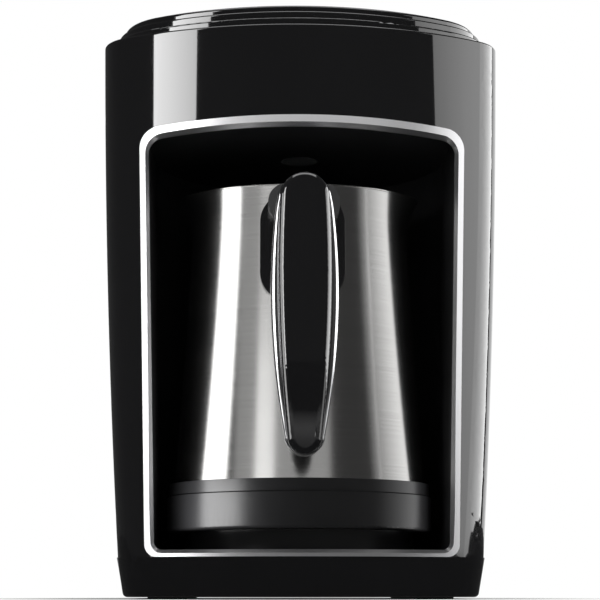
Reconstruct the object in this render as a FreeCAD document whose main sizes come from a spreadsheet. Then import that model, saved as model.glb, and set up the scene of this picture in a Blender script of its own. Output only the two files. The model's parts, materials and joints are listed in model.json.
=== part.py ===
"""Electric Turkish coffee maker: a black tower whose front window holds a steel pot on a dock.

Millimetres, +Z up, the front faces -Y. The origin is at the middle of the whole length and
width, on the surface that the feet stand on. Distances called depth run back from the middle
of the tower's front face.
"""
import FreeCAD, Part
import math
import os
from types import SimpleNamespace

import Sketcher
from FreeCAD import Placement, Rotation, Vector

SIZES = {
    # Tower
    "body_depth": 185.0,
    "top_width": 165.0,
    "tower_taper": 17.4,
    "seam_height": 16.5,
    "shell_top": 229.8,
    "side_bow_radius": 3900.0,
    "front_radius": 140.0,
    "front_corner": 18.0,
    "rear_corner": 26.0,
    "shell_wall": 2.5,
    "shell_ledge": 9.0,
    "shell_edge_radius": 1.0,
    "rear_cover_depth": 158.0,
    "joint_gap": 0.2,
    # Window and its silver frame
    "window_top": 191.8,
    "window_top_margin": 16.1,
    "window_bottom_margin": 11.7,
    "window_arch": 2.5,
    "window_top_corner": 8.0,
    "window_bottom_corner": 5.0,
    "mouth_top_corner": 6.0,
    "mouth_bottom_corner": 3.2,
    "trim_side": 3.7,
    "trim_head": 4.3,
    "trim_sill": 2.8,
    "trim_proud": 0.8,
    "trim_bevel_across": 2.4,
    "trim_bevel_deep": 1.4,
    # Chamber behind the window
    "liner_wall": 2.0,
    "liner_floor": 2.5,
    "liner_ceiling": 188.0,
    "flange_lap": 1.3,
    # Base
    "foot_height": 0.8,
    "foot_radius": 8.0,
    "foot_recess": 0.8,
    "foot_inset": 19.8,
    "front_foot_depth": 36.0,
    "rear_foot_depth": 158.0,
    "tray_overhang": 0.4,
    "tray_floor": 2.5,
    "tray_edge_radius": 2.0,
    "tray_draft": 10.0,
    "deck_thickness": 2.0,
    "base_screw_inset": 16.0,
    "screw_tip_gap": 1.0,
    # Top cap and control panel
    "cap_step_height": 3.2,
    "cap_ridge_height": 3.7,
    "cap_crown_height": 3.3,
    "cap_front_radius": 126.0,
    "cap_front_corner": 37.0,
    "cap_step_inset": 2.0,
    "cap_ridge_inset": 5.0,
    "cap_crown_inset": 7.5,
    "cap_crown_edge": 1.5,
    "cap_step_edge": 0.9,
    "cap_plate": 3.0,
    "cap_skirt": 5.0,
    "panel_width": 100.0,
    "panel_length": 52.0,
    "panel_corner": 14.0,
    "panel_thickness": 1.2,
    "panel_depth": 62.0,
    # Buttons, lights and control board
    "button_radius": 11.0,
    "button_spacing": 44.0,
    "button_proud": 1.0,
    "button_edge_radius": 0.6,
    "button_travel": 1.2,
    "button_clearance": 0.25,
    "button_lip": 2.0,
    "button_lip_thickness": 1.8,
    "stem_radius": 3.0,
    "switch_height": 6.0,
    "switch_width": 12.0,
    "stem_engagement": 1.0,
    "stem_gap": 0.8,
    "light_radius": 1.6,
    "light_offset": 17.0,
    "board_thickness": 1.6,
    "control_board_drop": 20.0,
    "control_board_width": 88.0,
    "control_board_length": 60.0,
    "post_radius": 3.0,
    "board_edge": 5.0,
    "buzzer_radius": 6.0,
    "buzzer_height": 7.0,
    # Foam sensor above the pot
    "sensor_window_radius": 8.0,
    "sensor_length": 26.0,
    "sensor_height": 9.0,
    # Power supply behind the chamber
    "power_board_gap": 10.0,
    "power_board_width": 92.0,
    "power_board_height": 96.0,
    "power_board_bottom": 52.0,
    "power_post_span": 60.0,
    "relay_height": 16.0,
    "relay_width": 19.2,
    "relay_length": 25.6,
    "transformer_height": 22.0,
    "transformer_width": 26.4,
    "transformer_length": 22.0,
    "capacitor_radius": 6.0,
    "capacitor_length": 20.0,
    "terminal_height": 12.0,
    "terminal_width": 30.0,
    # Cord inlet
    "gland_bore_radius": 3.2,
    "gland_wall": 2.0,
    "gland_flange": 2.5,
    "gland_flange_thickness": 2.5,
    "gland_reach": 8.0,
    "gland_tail": 1.0,
    "gland_height": 34.0,
    "gland_inset": 20.0,
    # Screws
    "screw_radius": 1.5,
    "screw_head_radius": 3.0,
    "screw_head_height": 1.8,
    "screw_clearance": 0.2,
    "boss_radius": 5.0,
    "lug_margin": 1.0,
    "rear_screw_recess": 14.0,
    "rear_screw_length": 17.0,
    "rear_screw_inset": 26.5,
    "rear_screw_low": 44.0,
    "rear_screw_high": 206.0,
    # Dock under and behind the pot
    "pot_depth": 62.0,
    "plinth_inset": 7.6,
    "plinth_height": 8.5,
    "plinth_wall": 2.5,
    "connector_width": 30.0,
    "connector_height": 8.0,
    "connector_length": 12.0,
    "connector_rise": 3.5,
    "pin_radius": 1.5,
    "pin_spacing": 8.0,
    "pin_reach": 10.0,
    "pin_clearance": 0.3,
    "dock_gap": 1.5,
    # Pot
    "cup_side_gap": 6.5,
    "cup_height": 14.5,
    "cup_wall": 2.5,
    "cup_edge_radius": 1.5,
    "collar_inset": 0.8,
    "collar_height": 5.4,
    "collar_gap": 0.3,
    "vessel_foot_inset": 2.6,
    "vessel_taper": 7.8,
    "vessel_flare": 0.8,
    "vessel_neck_height": 148.0,
    "vessel_rim_height": 166.4,
    "vessel_flank_radius": 1200.0,
    "vessel_wall": 1.0,
    "vessel_sink": 4.0,
    "rim_roll": 0.8,
    "lip_radius": 9.0,
    "lip_length": 22.0,
    "lip_reach": 6.5,
    "lip_lean": 16.0,
    "lip_drop": 18.5,
    "lip_wall": 1.15,
    "seal_thickness": 1.2,
    "seal_width": 1.8,
    "shelf_width": 4.0,
    "spigot_depth": 2.0,
    "heater_plate_inset": 5.0,
    "heater_plate_thickness": 2.0,
    "heater_ring_inset": 14.0,
    "heater_tube_radius": 3.0,
    "cutout_radius": 8.0,
    "cutout_height": 4.0,
    # Pot handle
    "handle_reach": 28.0,
    "handle_bow_radius": 320.0,
    "handle_bow_height": 112.0,
    "handle_top": 163.2,
    "handle_tip": 54.2,
    "handle_top_radius": 9.6,
    "handle_tip_radius": 6.6,
    "handle_side_radius": 580.0,
    "handle_trim_grow": 1.3,
    "handle_trim_side_radius": 290.0,
    "handle_trim_wall": 2.2,
    "handle_core_grow": 0.4,
    "cover_thickness": 5.5,
    "handle_trim_thickness": 3.0,
    "core_thickness": 5.5,
    "cover_edge_radius": 3.0,
    "bracket_half_width": 17.1,
    "bracket_bottom": 118.0,
    "bracket_top": 162.5,
    "bracket_corner": 12.0,
    "bracket_stand": 6.0,
    "bracket_depth": 15.0,
    "neck_half_width": 14.0,
    "neck_half_height": 8.2,
    "neck_corner": 7.38,
    "neck_height": 153.3,
    "handle_screw_spacing": 10.0,
}


class Size:
    """A number together with its spreadsheet formula, so that sums of sizes stay live."""

    def __init__(self, value, text=None):
        self.value = float(value)
        self.text = f"{self.value!r}" if text is None else text

    def __add__(self, other):
        return join(self, "+", other)

    def __radd__(self, other):
        return join(other, "+", self)

    def __sub__(self, other):
        return join(self, "-", other)

    def __rsub__(self, other):
        return join(other, "-", self)

    def __mul__(self, other):
        return join(self, "*", other)

    def __rmul__(self, other):
        return join(other, "*", self)

    def __truediv__(self, other):
        return join(self, "/", other)

    def __neg__(self):
        return Size(-self.value, f"(-1 * {self.text})")


def as_size(value):
    return value if isinstance(value, Size) else Size(value)


def join(left, sign, right):
    left = as_size(left)
    right = as_size(right)
    value = {
        "+": lambda: left.value + right.value,
        "-": lambda: left.value - right.value,
        "*": lambda: left.value * right.value,
        "/": lambda: left.value / right.value,
    }[sign]()
    return Size(value, f"({left.text} {sign} {right.text})")


def root(size):
    return Size(math.sqrt(size.value), f"sqrt({size.text})")


doc = FreeCAD.newDocument("CoffeeMaker")
sheet = doc.addObject("Spreadsheet::Sheet", "Sizes")
for row, (name, number) in enumerate(SIZES.items(), start=1):
    sheet.set(f"A{row}", name)
    sheet.set(f"B{row}", str(number))
    sheet.setAlias(f"B{row}", name)
doc.recompute()

d = SimpleNamespace(**{name: Size(number, f"Sizes.{name}") for name, number in SIZES.items()})
nodes = []

# Widths that follow the tower's, and radii that follow the room between the window's sides
d.seam_width = d.top_width - d.tower_taper
d.window_top_width = d.top_width - d.window_top_margin * 2
d.window_bottom_width = d.seam_width - d.window_bottom_margin * 2
d.foot_half_span = d.seam_width / 2 - d.foot_inset
d.rear_screw_spacing = d.top_width - d.rear_screw_inset * 2
d.gland_offset = d.rear_screw_spacing / 2 - d.gland_inset
d.switch_well = d.stem_engagement + d.button_travel + d.stem_gap
d.cup_radius = d.window_bottom_width / 2 - d.cup_side_gap
d.collar_radius = d.cup_radius - d.collar_inset
d.vessel_foot_radius = d.cup_radius - d.vessel_foot_inset
d.vessel_neck_radius = d.vessel_foot_radius - d.vessel_taper
d.vessel_rim_radius = d.vessel_neck_radius + d.vessel_flare
d.plinth_radius = d.cup_radius - d.plinth_inset
d.heater_plate_radius = d.vessel_foot_radius - d.heater_plate_inset
d.heater_ring_radius = d.heater_plate_radius - d.heater_ring_inset

# Heights and places that several pieces share
front = (d.handle_reach - d.body_depth - d.gland_reach) / 2
pot_axis = front + d.pot_depth
floor_top = d.seam_height + d.liner_floor
pot_seat = floor_top + d.plinth_height
cup_top = pot_seat + d.cup_height
collar_top = cup_top + d.collar_height
cap_top = d.shell_top + d.cap_step_height + d.cap_ridge_height + d.cap_crown_height
cap_underside = cap_top - d.cap_plate
control_board_top = cap_underside - d.control_board_drop
panel_y = front + d.panel_depth
deck_bottom = d.seam_height - d.deck_thickness
tray_floor_top = d.foot_height + d.tray_floor
window_lean = (d.window_top_width - d.window_bottom_width) / 2 / (d.window_top - d.seam_height)
connector_middle = pot_seat + d.connector_rise + d.connector_height / 2
dock_face = d.pot_depth + d.cup_radius + d.dock_gap
liner_back = d.pot_depth + d.window_bottom_width / 2
power_board_depth = liner_back + d.power_board_gap
vessel_bottom = collar_top - d.vessel_sink
handle_bow_depth = d.handle_bow_radius - d.handle_reach
bracket_front = d.pot_depth - d.vessel_neck_radius - d.bracket_stand


deep_cut = d.pot_depth
through = d.shell_top * 2


# Features whose sizes follow the sheet
def bind(thing, name, size):
    """Give a property the formula of a size."""
    thing.setExpression(name, as_size(size).text)


def place(thing, x=0, y=0, z=0):
    for axis, size in (("x", x), ("y", y), ("z", z)):
        bind(thing, f"Placement.Base.{axis}", size)
    return thing


def node(thing, label):
    """Name a finished sub-part and list it for export."""
    thing.Label = label
    nodes.append(thing)
    return thing


def new_body(name, x=0, y=0, z=0):
    return place(doc.addObject("PartDesign::Body", name), x, y, z)


def sketch_on(body, plane, offset=0):
    sketch = body.newObject("Sketcher::SketchObject", f"{body.Name}_outline")
    support = next(item for item in body.Origin.OriginFeatures if item.Role == plane)
    sketch.AttachmentSupport = [(support, "")]
    sketch.MapMode = "FlatFace"
    bind(sketch, "AttachmentOffset.Base.z", offset)
    return sketch


def constrain(sketch, kind, geometry, point, size):
    """Hold one coordinate of a point, or a radius, at a size."""
    if kind != "Radius" and as_size(size).text == "0.0":
        axis = -2 if kind == "DistanceX" else -1
        sketch.addConstraint(Sketcher.Constraint("PointOnObject", geometry, point, axis))
        return
    value = as_size(size).value
    arguments = (kind, geometry, value) if kind == "Radius" else (kind, geometry, point, value)
    index = sketch.addConstraint(Sketcher.Constraint(*arguments))
    bind(sketch, f"Constraints[{index}]", size)


def arc_between(start, end, radius, turn):
    """The short arc from start to end; turn is 1 anticlockwise and -1 clockwise."""
    chord = end - start
    lift = math.sqrt(max(radius ** 2 - (chord.Length / 2) ** 2, 0.0))
    across = Vector(-chord.y, chord.x, 0).normalize() * lift * turn
    centre = (start + end) / 2 + across
    first, last = (start, end) if turn > 0 else (end, start)
    angles = [math.atan2(point.y - centre.y, point.x - centre.x) for point in (first, last)]
    if angles[1] < angles[0]:
        angles[1] += 2 * math.pi
    return Part.ArcOfCircle(Part.Circle(centre, Vector(0, 0, 1), radius), *angles)


def draw(sketch, corners):
    """Close a loop through corners: (x, y), or (x, y, radius) where an arc leads to the corner.

    A radius given as (radius, -1) turns clockwise.
    """
    points = [Vector(as_size(corner[0]).value, as_size(corner[1]).value, 0) for corner in corners]
    ends = []
    for index, corner in enumerate(corners):
        start = points[index - 1]
        end = points[index]
        if len(corner) == 2:
            geometry = sketch.addGeometry(Part.LineSegment(start, end))
            ends.append((geometry, 1, 2))
            continue
        radius, turn = corner[2] if isinstance(corner[2], tuple) else (corner[2], 1)
        geometry = sketch.addGeometry(arc_between(start, end, as_size(radius).value, turn))
        constrain(sketch, "Radius", geometry, 0, radius)
        ends.append((geometry, 1, 2) if turn > 0 else (geometry, 2, 1))
    for index, corner in enumerate(corners):
        geometry, _, end = ends[index]
        following, begin, _ = ends[(index + 1) % len(corners)]
        sketch.addConstraint(Sketcher.Constraint("Coincident", geometry, end, following, begin))
        constrain(sketch, "DistanceX", geometry, end, corner[0])
        constrain(sketch, "DistanceY", geometry, end, corner[1])
    sketch.Visibility = False
    return sketch


def pad(body, sketch, length, reverse=False, draft=0):
    feature = body.newObject("PartDesign::Pad", f"{body.Name}_pad")
    feature.Profile = sketch
    feature.Reversed = reverse
    bind(feature, "Length", length)
    if draft:
        bind(feature, "TaperAngle", draft)
    return feature


def pocket(body, sketch, length, reverse=False):
    feature = body.newObject("PartDesign::Pocket", f"{body.Name}_pocket")
    feature.Profile = sketch
    feature.Reversed = reverse
    bind(feature, "Length", length)
    return feature


def edges_where(feature, test):
    """Names of a feature's edges that pass a test of their bounding box."""
    doc.recompute()
    edges = enumerate(feature.Shape.Edges, start=1)
    return [f"Edge{number}" for number, edge in edges if test(edge.BoundBox)]


def fillet(body, feature, radius, test):
    """Round the edges of a body's last feature that pass a test."""
    rounded = body.newObject("PartDesign::Fillet", f"{body.Name}_fillet")
    rounded.Base = (feature, edges_where(feature, test))
    bind(rounded, "Radius", radius)
    return rounded


def prism_up(name, bottom, top, corners):
    """An outline in plan, raised from one height to another."""
    body = new_body(name, y=front)
    pad(body, draw(sketch_on(body, "XY_Plane", bottom), corners), top - bottom)
    return body


def prism_back(name, start, end, corners):
    """An outline seen from the front, run back from one depth to another."""
    body = new_body(name, y=front)
    pad(body, draw(sketch_on(body, "XZ_Plane", -as_size(start)), corners), end - start, True)
    return body


def spin(name, corners, x=0, y=0):
    """A profile of radii and heights, turned about an upright axis."""
    body = new_body(name, x, y)
    turned = body.newObject("PartDesign::Revolution", f"{name}_turn")
    turned.Profile = draw(sketch_on(body, "XZ_Plane"), corners)
    turned.ReferenceAxis = (turned.Profile[0], ["V_Axis"])
    turned.Angle = 360
    return body


TURNS = {
    "x": Rotation(Vector(0, 1, 0), 90),
    "y": Rotation(Vector(1, 0, 0), -90),
    "z": Rotation(),
}


def rod(name, radius, length, x=0, y=0, z=0, axis="z"):
    cylinder = doc.addObject("Part::Cylinder", name)
    cylinder.Placement = Placement(Vector(), TURNS[axis])
    bind(cylinder, "Radius", radius)
    bind(cylinder, "Height", length)
    return place(cylinder, x, y, z)


def block(name, width, length, height, y, z, x=0):
    """A box that is centred on x and starts at y and z."""
    box = doc.addObject("Part::Box", name)
    bind(box, "Length", width)
    bind(box, "Width", length)
    bind(box, "Height", height)
    return place(box, x - as_size(width) / 2, y, z)


def fuse(name, *things):
    union = doc.addObject("Part::MultiFuse", name)
    union.Shapes = list(things)
    return union


def common(name, base, tool):
    overlap = doc.addObject("Part::Common", name)
    overlap.Base = base
    overlap.Tool = tool
    return overlap


def cut(name, base, *tools):
    remainder = doc.addObject("Part::Cut", name)
    remainder.Base = base
    remainder.Tool = tools[0] if len(tools) == 1 else fuse(f"{name}_cutters", *tools)
    return remainder


def group(name, things):
    """Separate solids that share one node."""
    bundle = doc.addObject("Part::Compound", name)
    bundle.Links = list(things)
    return bundle


def body_on(name, base):
    """A body that carries on from a finished shape; returns the body and its first feature."""
    body = doc.addObject("PartDesign::Body", name)
    body.BaseFeature = base
    doc.recompute()
    return body, body.Group[0]


def screw(name, length, x, y, z, axis, reverse=False):
    """A pan-head screw whose head stands against the point and whose shank runs on from it."""
    way = -1 if reverse else 1
    point = {"x": x, "y": y, "z": z}
    shank_start = dict(point)
    head_start = dict(point)
    if reverse:
        shank_start[axis] = point[axis] - length
    else:
        head_start[axis] = point[axis] - d.screw_head_height
    shank = rod(f"{name}_shank", d.screw_radius, length, axis=axis, **shank_start)
    head = rod(f"{name}_head", d.screw_head_radius, d.screw_head_height, axis=axis, **head_start)
    return fuse(name, shank, head)


SIDES = (-1, 1)
TOUCHING = 0.01
OVERSHOOT = 1
POT_SCREW_ANGLES = (30, 150, 270)


# Outlines
def plan_corners(half_width, inset, curve=d.front_radius, corner=d.front_corner):
    """The tower seen from above, a distance inside its outer skin."""
    corner_x = half_width - corner
    reach = curve - corner
    corner_y = curve - root(reach * reach - corner_x * corner_x)
    share = (curve - inset) / reach
    tangent_x = corner_x * share
    tangent_y = curve - (curve - corner_y) * share
    rear_x = half_width - d.rear_corner
    rear_y = d.body_depth - d.rear_corner
    side = half_width - inset
    back = d.body_depth - inset
    return [
        (tangent_x, tangent_y, curve - inset),
        (side, corner_y, corner - inset),
        (side, rear_y),
        (rear_x, back, d.rear_corner - inset),
        (-rear_x, back),
        (-side, rear_y, d.rear_corner - inset),
        (-side, corner_y),
        (-tangent_x, tangent_y, corner - inset),
    ]


def cap_corners(inset):
    """The cap seen from above: rounder in front than the tower that it stands on."""
    return plan_corners(d.top_width / 2, inset, d.cap_front_radius, d.cap_front_corner)


def rounded_box_corners(half_width, low, high, radius):
    inner = half_width - radius
    return [
        (inner, low),
        (half_width, low + radius, radius),
        (half_width, high - radius),
        (inner, high, radius),
        (-inner, high),
        (-half_width, high - radius, radius),
        (-half_width, low + radius),
        (-inner, low, radius),
    ]


def window_corners(side_inset, head_inset, sill_inset):
    """The window seen from the front: leaning sides under a flat arch."""
    sill = d.window_bottom_width / 2 - side_inset
    head = d.window_top_width / 2 - side_inset
    arch_radius = (head * head + d.window_arch * d.window_arch) / (2 * d.window_arch)
    spring = d.window_top - d.window_arch - head_inset
    base = d.seam_height + sill_inset
    return [
        (sill, base),
        (head, spring),
        (0, spring + d.window_arch, arch_radius),
        (-head, spring, arch_radius),
        (-sill, base),
    ]


def chamber_corners(height, grow):
    """The chamber seen from above: straight sides and a half-round back."""
    side = d.window_bottom_width / 2 - d.trim_side + window_lean * (height - d.seam_height) + grow
    return [
        (side, 0),
        (side, d.pot_depth),
        (0, d.pot_depth + side, side),
        (-side, d.pot_depth, side),
        (-side, 0),
    ]


# Tower: a bowed block, cut to the front curve and rounded, then hollowed
def tower_block(name, inset):
    seam = d.seam_width / 2 - inset
    top = d.top_width / 2 - inset
    bow = d.side_bow_radius - inset
    corners = [
        (seam, d.seam_height),
        (top, d.shell_top, bow),
        (-top, d.shell_top),
        (-seam, d.seam_height, bow),
    ]
    body = prism_back(name, as_size(inset), d.body_depth - inset, corners)
    reach = d.top_width / 2 + d.shell_wall
    curve = d.front_radius - inset
    edge = d.front_radius - root(curve * curve - reach * reach)
    ahead = -d.shell_wall
    face = [(reach, edge, curve), (reach, ahead), (-reach, ahead), (-reach, edge)]
    sketch = draw(sketch_on(body, "XY_Plane"), face)
    curved = pocket(body, sketch, through, reverse=True)
    tall = d.shell_top.value / 2
    middle = d.body_depth.value / 2
    rear = fillet(body, curved, d.rear_corner - inset,
                  lambda box: box.ZLength > tall and box.YMin > middle)
    upright = fillet(body, rear, d.front_corner - inset,
                     lambda box: box.ZLength > tall and box.YMax < middle)
    if as_size(inset).value == 0:
        fillet(body, upright, d.shell_edge_radius,
               lambda box: box.ZMin > d.shell_top.value - TOUCHING)
    return body


def window_block(name, corners, top_corner, bottom_corner):
    """A plug of the window's outline with its corners rounded."""
    body = prism_back(name, -d.trim_side, deep_cut, corners)
    middle = d.window_top.value / 2
    beside = d.window_bottom_width.value / 4
    deep = deep_cut.value

    def at_corner(box):
        return box.YLength > deep and box.ZLength < deep and abs(box.XMin) > beside

    lower = fillet(body, body.Tip, bottom_corner,
                   lambda box: at_corner(box) and box.ZMax < middle)
    fillet(body, lower, top_corner, lambda box: at_corner(box) and box.ZMin > middle)
    return body


def window_plug(name):
    return window_block(name, window_corners(0, 0, 0), d.window_top_corner,
                        d.window_bottom_corner)


def window_mouth(name):
    return window_block(name, window_corners(d.trim_side, d.trim_head, d.trim_sill),
                        d.mouth_top_corner, d.mouth_bottom_corner)


def front_ring(name, outward, inward):
    """The tower's front curve as a standing ring between two distances from the skin."""
    outer = rod(f"{name}_outer", d.front_radius + outward, through, y=front + d.front_radius)
    inner = rod(f"{name}_inner", d.front_radius - inward, through, y=front + d.front_radius)
    return cut(name, outer, inner)


tower = tower_block("tower", 0)
tower_inside = tower_block("tower_inside", d.shell_wall)
ceiling_limit = block("tower_inside_limit", d.top_width, d.body_depth,
                      d.shell_top - d.shell_wall, front, 0)
tower_hollow = common("tower_hollow", tower_inside, ceiling_limit)
top_opening = prism_up("top_opening", d.shell_top - d.shell_wall * 2, d.shell_top + OVERSHOOT,
                       plan_corners(d.top_width / 2, d.shell_ledge))
tower_skin = cut("tower_skin", tower, tower_hollow, top_opening, window_plug("window_plug"))

# Rear screws run from the cover's sunk bosses into lugs on the shell's sides
rear_screw_places = [
    (side * d.rear_screw_spacing / 2, height)
    for side in SIDES
    for height in (d.rear_screw_low, d.rear_screw_high)
]
rear_screw_seat = front + d.body_depth - d.rear_screw_recess
rear_screws = [
    screw(f"rear_screw_{number}", d.rear_screw_length, x, rear_screw_seat, z, "y", reverse=True)
    for number, (x, z) in enumerate(rear_screw_places, start=1)
]


def make_outer_shell():
    """Front, sides and top ledge in one shell that is open behind and below."""
    limit = block("shell_limit", d.top_width, d.rear_cover_depth, d.shell_top, front, 0)
    half = common("shell_half", tower_skin, limit)
    lug_side = (d.boss_radius + d.lug_margin) * 2
    lugs = [
        block(f"shell_lug_{number}", d.top_width / 2 - d.rear_screw_spacing / 2 + d.boss_radius,
              lug_side, lug_side, front + d.rear_cover_depth - lug_side, z - lug_side / 2,
              x=(1 if x.value > 0 else -1) * (d.top_width / 4 + d.rear_screw_spacing / 4
                                              - d.boss_radius / 2))
        for number, (x, z) in enumerate(rear_screw_places, start=1)
    ]
    held = common("shell_lugs", fuse("shell_lug_blocks", *lugs), tower)
    node(cut("outer_shell", fuse("shell_with_lugs", half, held), *rear_screws), "outer_shell")


def make_rear_cover():
    """The tower's back with sunk screw bosses and the hole for the cord inlet."""
    start = front + d.rear_cover_depth + d.joint_gap
    length = d.body_depth - d.rear_cover_depth
    limit = block("rear_limit", d.top_width, length, d.shell_top, start, 0)
    half = common("rear_half", tower_skin, limit)
    bosses = [
        rod(f"rear_boss_{number}", d.boss_radius, length - d.joint_gap - d.shell_wall / 2,
            x, start, z, "y")
        for number, (x, z) in enumerate(rear_screw_places, start=1)
    ]
    recesses = [
        rod(f"rear_recess_{number}", d.screw_head_radius + d.screw_clearance,
            d.rear_screw_recess + OVERSHOOT, x, rear_screw_seat, z, "y")
        for number, (x, z) in enumerate(rear_screw_places, start=1)
    ]
    passages = [
        rod(f"rear_passage_{number}", d.screw_radius + d.screw_clearance, length,
            x, start - OVERSHOOT, z, "y")
        for number, (x, z) in enumerate(rear_screw_places, start=1)
    ]
    inlet = rod("inlet_hole", d.gland_bore_radius + d.gland_wall, length,
                d.gland_offset, front + d.rear_cover_depth + length / 2, d.gland_height, "y")
    whole = fuse("rear_with_bosses", half, *bosses)
    node(cut("rear_cover", whole, *recesses, *passages, inlet), "rear_cover")


def make_frame_trim():
    """The silver window frame: it follows the front curve and slopes in towards the chamber."""
    bar = cut("trim_bar", window_plug("trim_outline"), window_mouth("trim_opening"))
    curved = common("trim_curved", bar, front_ring("trim_ring", d.trim_proud, d.shell_wall))
    body, base = body_on("frame_trim", curved)
    bevel = body.newObject("PartDesign::Chamfer", "trim_bevel")
    radius = d.front_radius.value + d.trim_proud.value
    centre_y = front.value + d.front_radius.value
    doc.recompute()
    names = []
    for number, edge in enumerate(base.Shape.Edges, start=1):
        middle = edge.valueAt((edge.FirstParameter + edge.LastParameter) / 2)
        on_face = abs(math.hypot(middle.x, middle.y - centre_y) - radius) < TOUCHING
        inset = window_inset(middle)
        if on_face and inset > d.trim_sill.value - TOUCHING:
            names.append(f"Edge{number}")
    bevel.Base = (base, names)
    bevel.ChamferType = "Two distances"
    bind(bevel, "Size", d.trim_bevel_deep)
    bind(bevel, "Size2", d.trim_bevel_across)
    node(body, "frame_trim")


def window_inset(point):
    """How far a point seen from the front lies inside the window's straight sides."""
    side = d.window_bottom_width.value / 2
    side += window_lean.value * (point.z - d.seam_height.value)
    head = d.window_top.value - d.window_arch.value * (point.x / side) ** 2
    return min(side - abs(point.x), head - point.z, point.z - d.seam_height.value)


# Inner pieces
pins = [
    rod(f"contact_pin_{number}", d.pin_radius, d.pin_reach + d.connector_length / 2,
        number * d.pin_spacing, front + dock_face - d.pin_reach, connector_middle, "y")
    for number in (-1, 0, 1)
]


def make_dock():
    """The plinth that the pot stands on and the connector that its base plugs onto."""
    inner = d.plinth_radius - d.plinth_wall
    plinth = [
        (d.plinth_radius, floor_top),
        (d.plinth_radius, pot_seat),
        (0, pot_seat),
        (0, pot_seat - d.plinth_wall),
        (inner, pot_seat - d.plinth_wall),
        (inner, floor_top),
    ]
    node(spin("dock_plinth", plinth, y=pot_axis), "dock_plinth")
    housing = block("connector_block", d.connector_width, d.connector_length, d.connector_height,
                    front + dock_face, connector_middle - d.connector_height / 2)
    node(cut("dock_connector", housing, *pins), "dock_connector")
    node(group("contact_pins", pins), "contact_pins")
    return housing


connector_block = make_dock()
power_posts = [
    (side * d.power_post_span / 2, d.power_board_bottom + rise)
    for side in SIDES
    for rise in (d.board_edge * 2, d.power_board_height - d.board_edge * 2)
]
power_screws = [
    screw(f"power_screw_{number}", d.boss_radius * 2, x,
          front + power_board_depth + d.board_thickness, z, "y", reverse=True)
    for number, (x, z) in enumerate(power_posts, start=1)
]
liner_top = d.liner_ceiling + d.liner_wall
sensor_window = rod("sensor_window", d.sensor_window_radius, d.liner_wall, 0, pot_axis,
                    d.liner_ceiling)


def chamber_loft(name, bottom, top, grow):
    body = new_body(name, y=front)
    lower = draw(sketch_on(body, "XY_Plane", bottom), chamber_corners(bottom, grow))
    upper = draw(sketch_on(body, "XY_Plane", top), chamber_corners(top, grow))
    loft = body.newObject("PartDesign::AdditiveLoft", f"{name}_loft")
    loft.Profile = lower
    loft.Sections = [upper]
    loft.Ruled = True
    return body


def make_chamber_liner():
    """The black chamber with its mounting flange, board posts and openings."""
    outside = chamber_loft("liner_outside", d.seam_height, liner_top, d.liner_wall)
    inside = chamber_loft("liner_inside", floor_top, d.liner_ceiling, as_size(0))
    behind = rod("liner_front_curve", d.front_radius - d.shell_wall, d.shell_top,
                 y=front + d.front_radius)
    walls = common("liner_walls", outside, behind)
    flange_plug = window_block("flange_outline",
                               window_corners(-d.flange_lap, -d.flange_lap, 0),
                               d.window_top_corner + d.flange_lap, d.window_bottom_corner)
    flange = common("liner_flange", flange_plug,
                    front_ring("flange_ring", -d.shell_wall, d.shell_wall + d.liner_wall))
    flange_frame = cut("liner_flange_frame", flange, window_mouth("liner_mouth"))
    post_start = front + d.pot_depth + d.window_bottom_width / 4
    posts = [
        rod(f"liner_post_{number}", d.boss_radius,
            front + power_board_depth - post_start, x, post_start, z, "y")
        for number, (x, z) in enumerate(power_posts, start=1)
    ]
    solid = fuse("liner_solid", walls, flange_frame, *posts)
    node(cut("chamber_liner", solid, inside, connector_block, sensor_window, *power_screws),
         "chamber_liner")


# Base: a tray on rubber feet under a deck that carries the chamber
foot_places = [
    (side * d.foot_half_span, depth)
    for side in SIDES
    for depth in (d.front_foot_depth, d.rear_foot_depth)
]
base_screw_places = [
    (side * (d.foot_half_span - d.base_screw_inset), depth)
    for side in SIDES
    for depth in (d.front_foot_depth, d.rear_foot_depth)
]


def make_base():
    outline = plan_corners(d.seam_width / 2, -d.tray_overhang)
    tray = new_body("tray_block", y=front)
    skirt = pad(tray, draw(sketch_on(tray, "XY_Plane", d.seam_height), outline),
                d.seam_height - d.foot_height, reverse=True, draft=-d.tray_draft)
    low = d.foot_height.value + TOUCHING
    fillet(tray, skirt, d.tray_edge_radius, lambda box: box.ZMax < low)
    cavity = draw(sketch_on(tray, "XY_Plane", d.seam_height),
                  plan_corners(d.seam_width / 2, d.shell_wall))
    pocket(tray, cavity, d.seam_height - tray_floor_top)
    feet = [
        rod(f"foot_{number}", d.foot_radius, d.foot_height + d.foot_recess, x, front + depth, 0)
        for number, (x, depth) in enumerate(foot_places, start=1)
    ]
    seat = d.foot_height + d.screw_head_height
    screws = [
        screw(f"base_screw_{number}", deck_bottom - seat - d.screw_tip_gap, x, front + depth, seat, "z")
        for number, (x, depth) in enumerate(base_screw_places, start=1)
    ]
    node(cut("base_tray", tray, *feet, *screws), "base_tray")
    node(group("rubber_feet", feet), "rubber_feet")
    node(group("base_screws", screws), "base_screws")
    plate = prism_up("deck_plate", deck_bottom, d.seam_height,
                     plan_corners(d.seam_width / 2, d.shell_wall + d.joint_gap))
    bosses = [
        rod(f"deck_boss_{number}", d.boss_radius, d.seam_height - tray_floor_top, x,
            front + depth, tray_floor_top)
        for number, (x, depth) in enumerate(base_screw_places, start=1)
    ]
    node(cut("base_deck", fuse("deck_solid", plate, *bosses), *screws), "base_deck")


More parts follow.
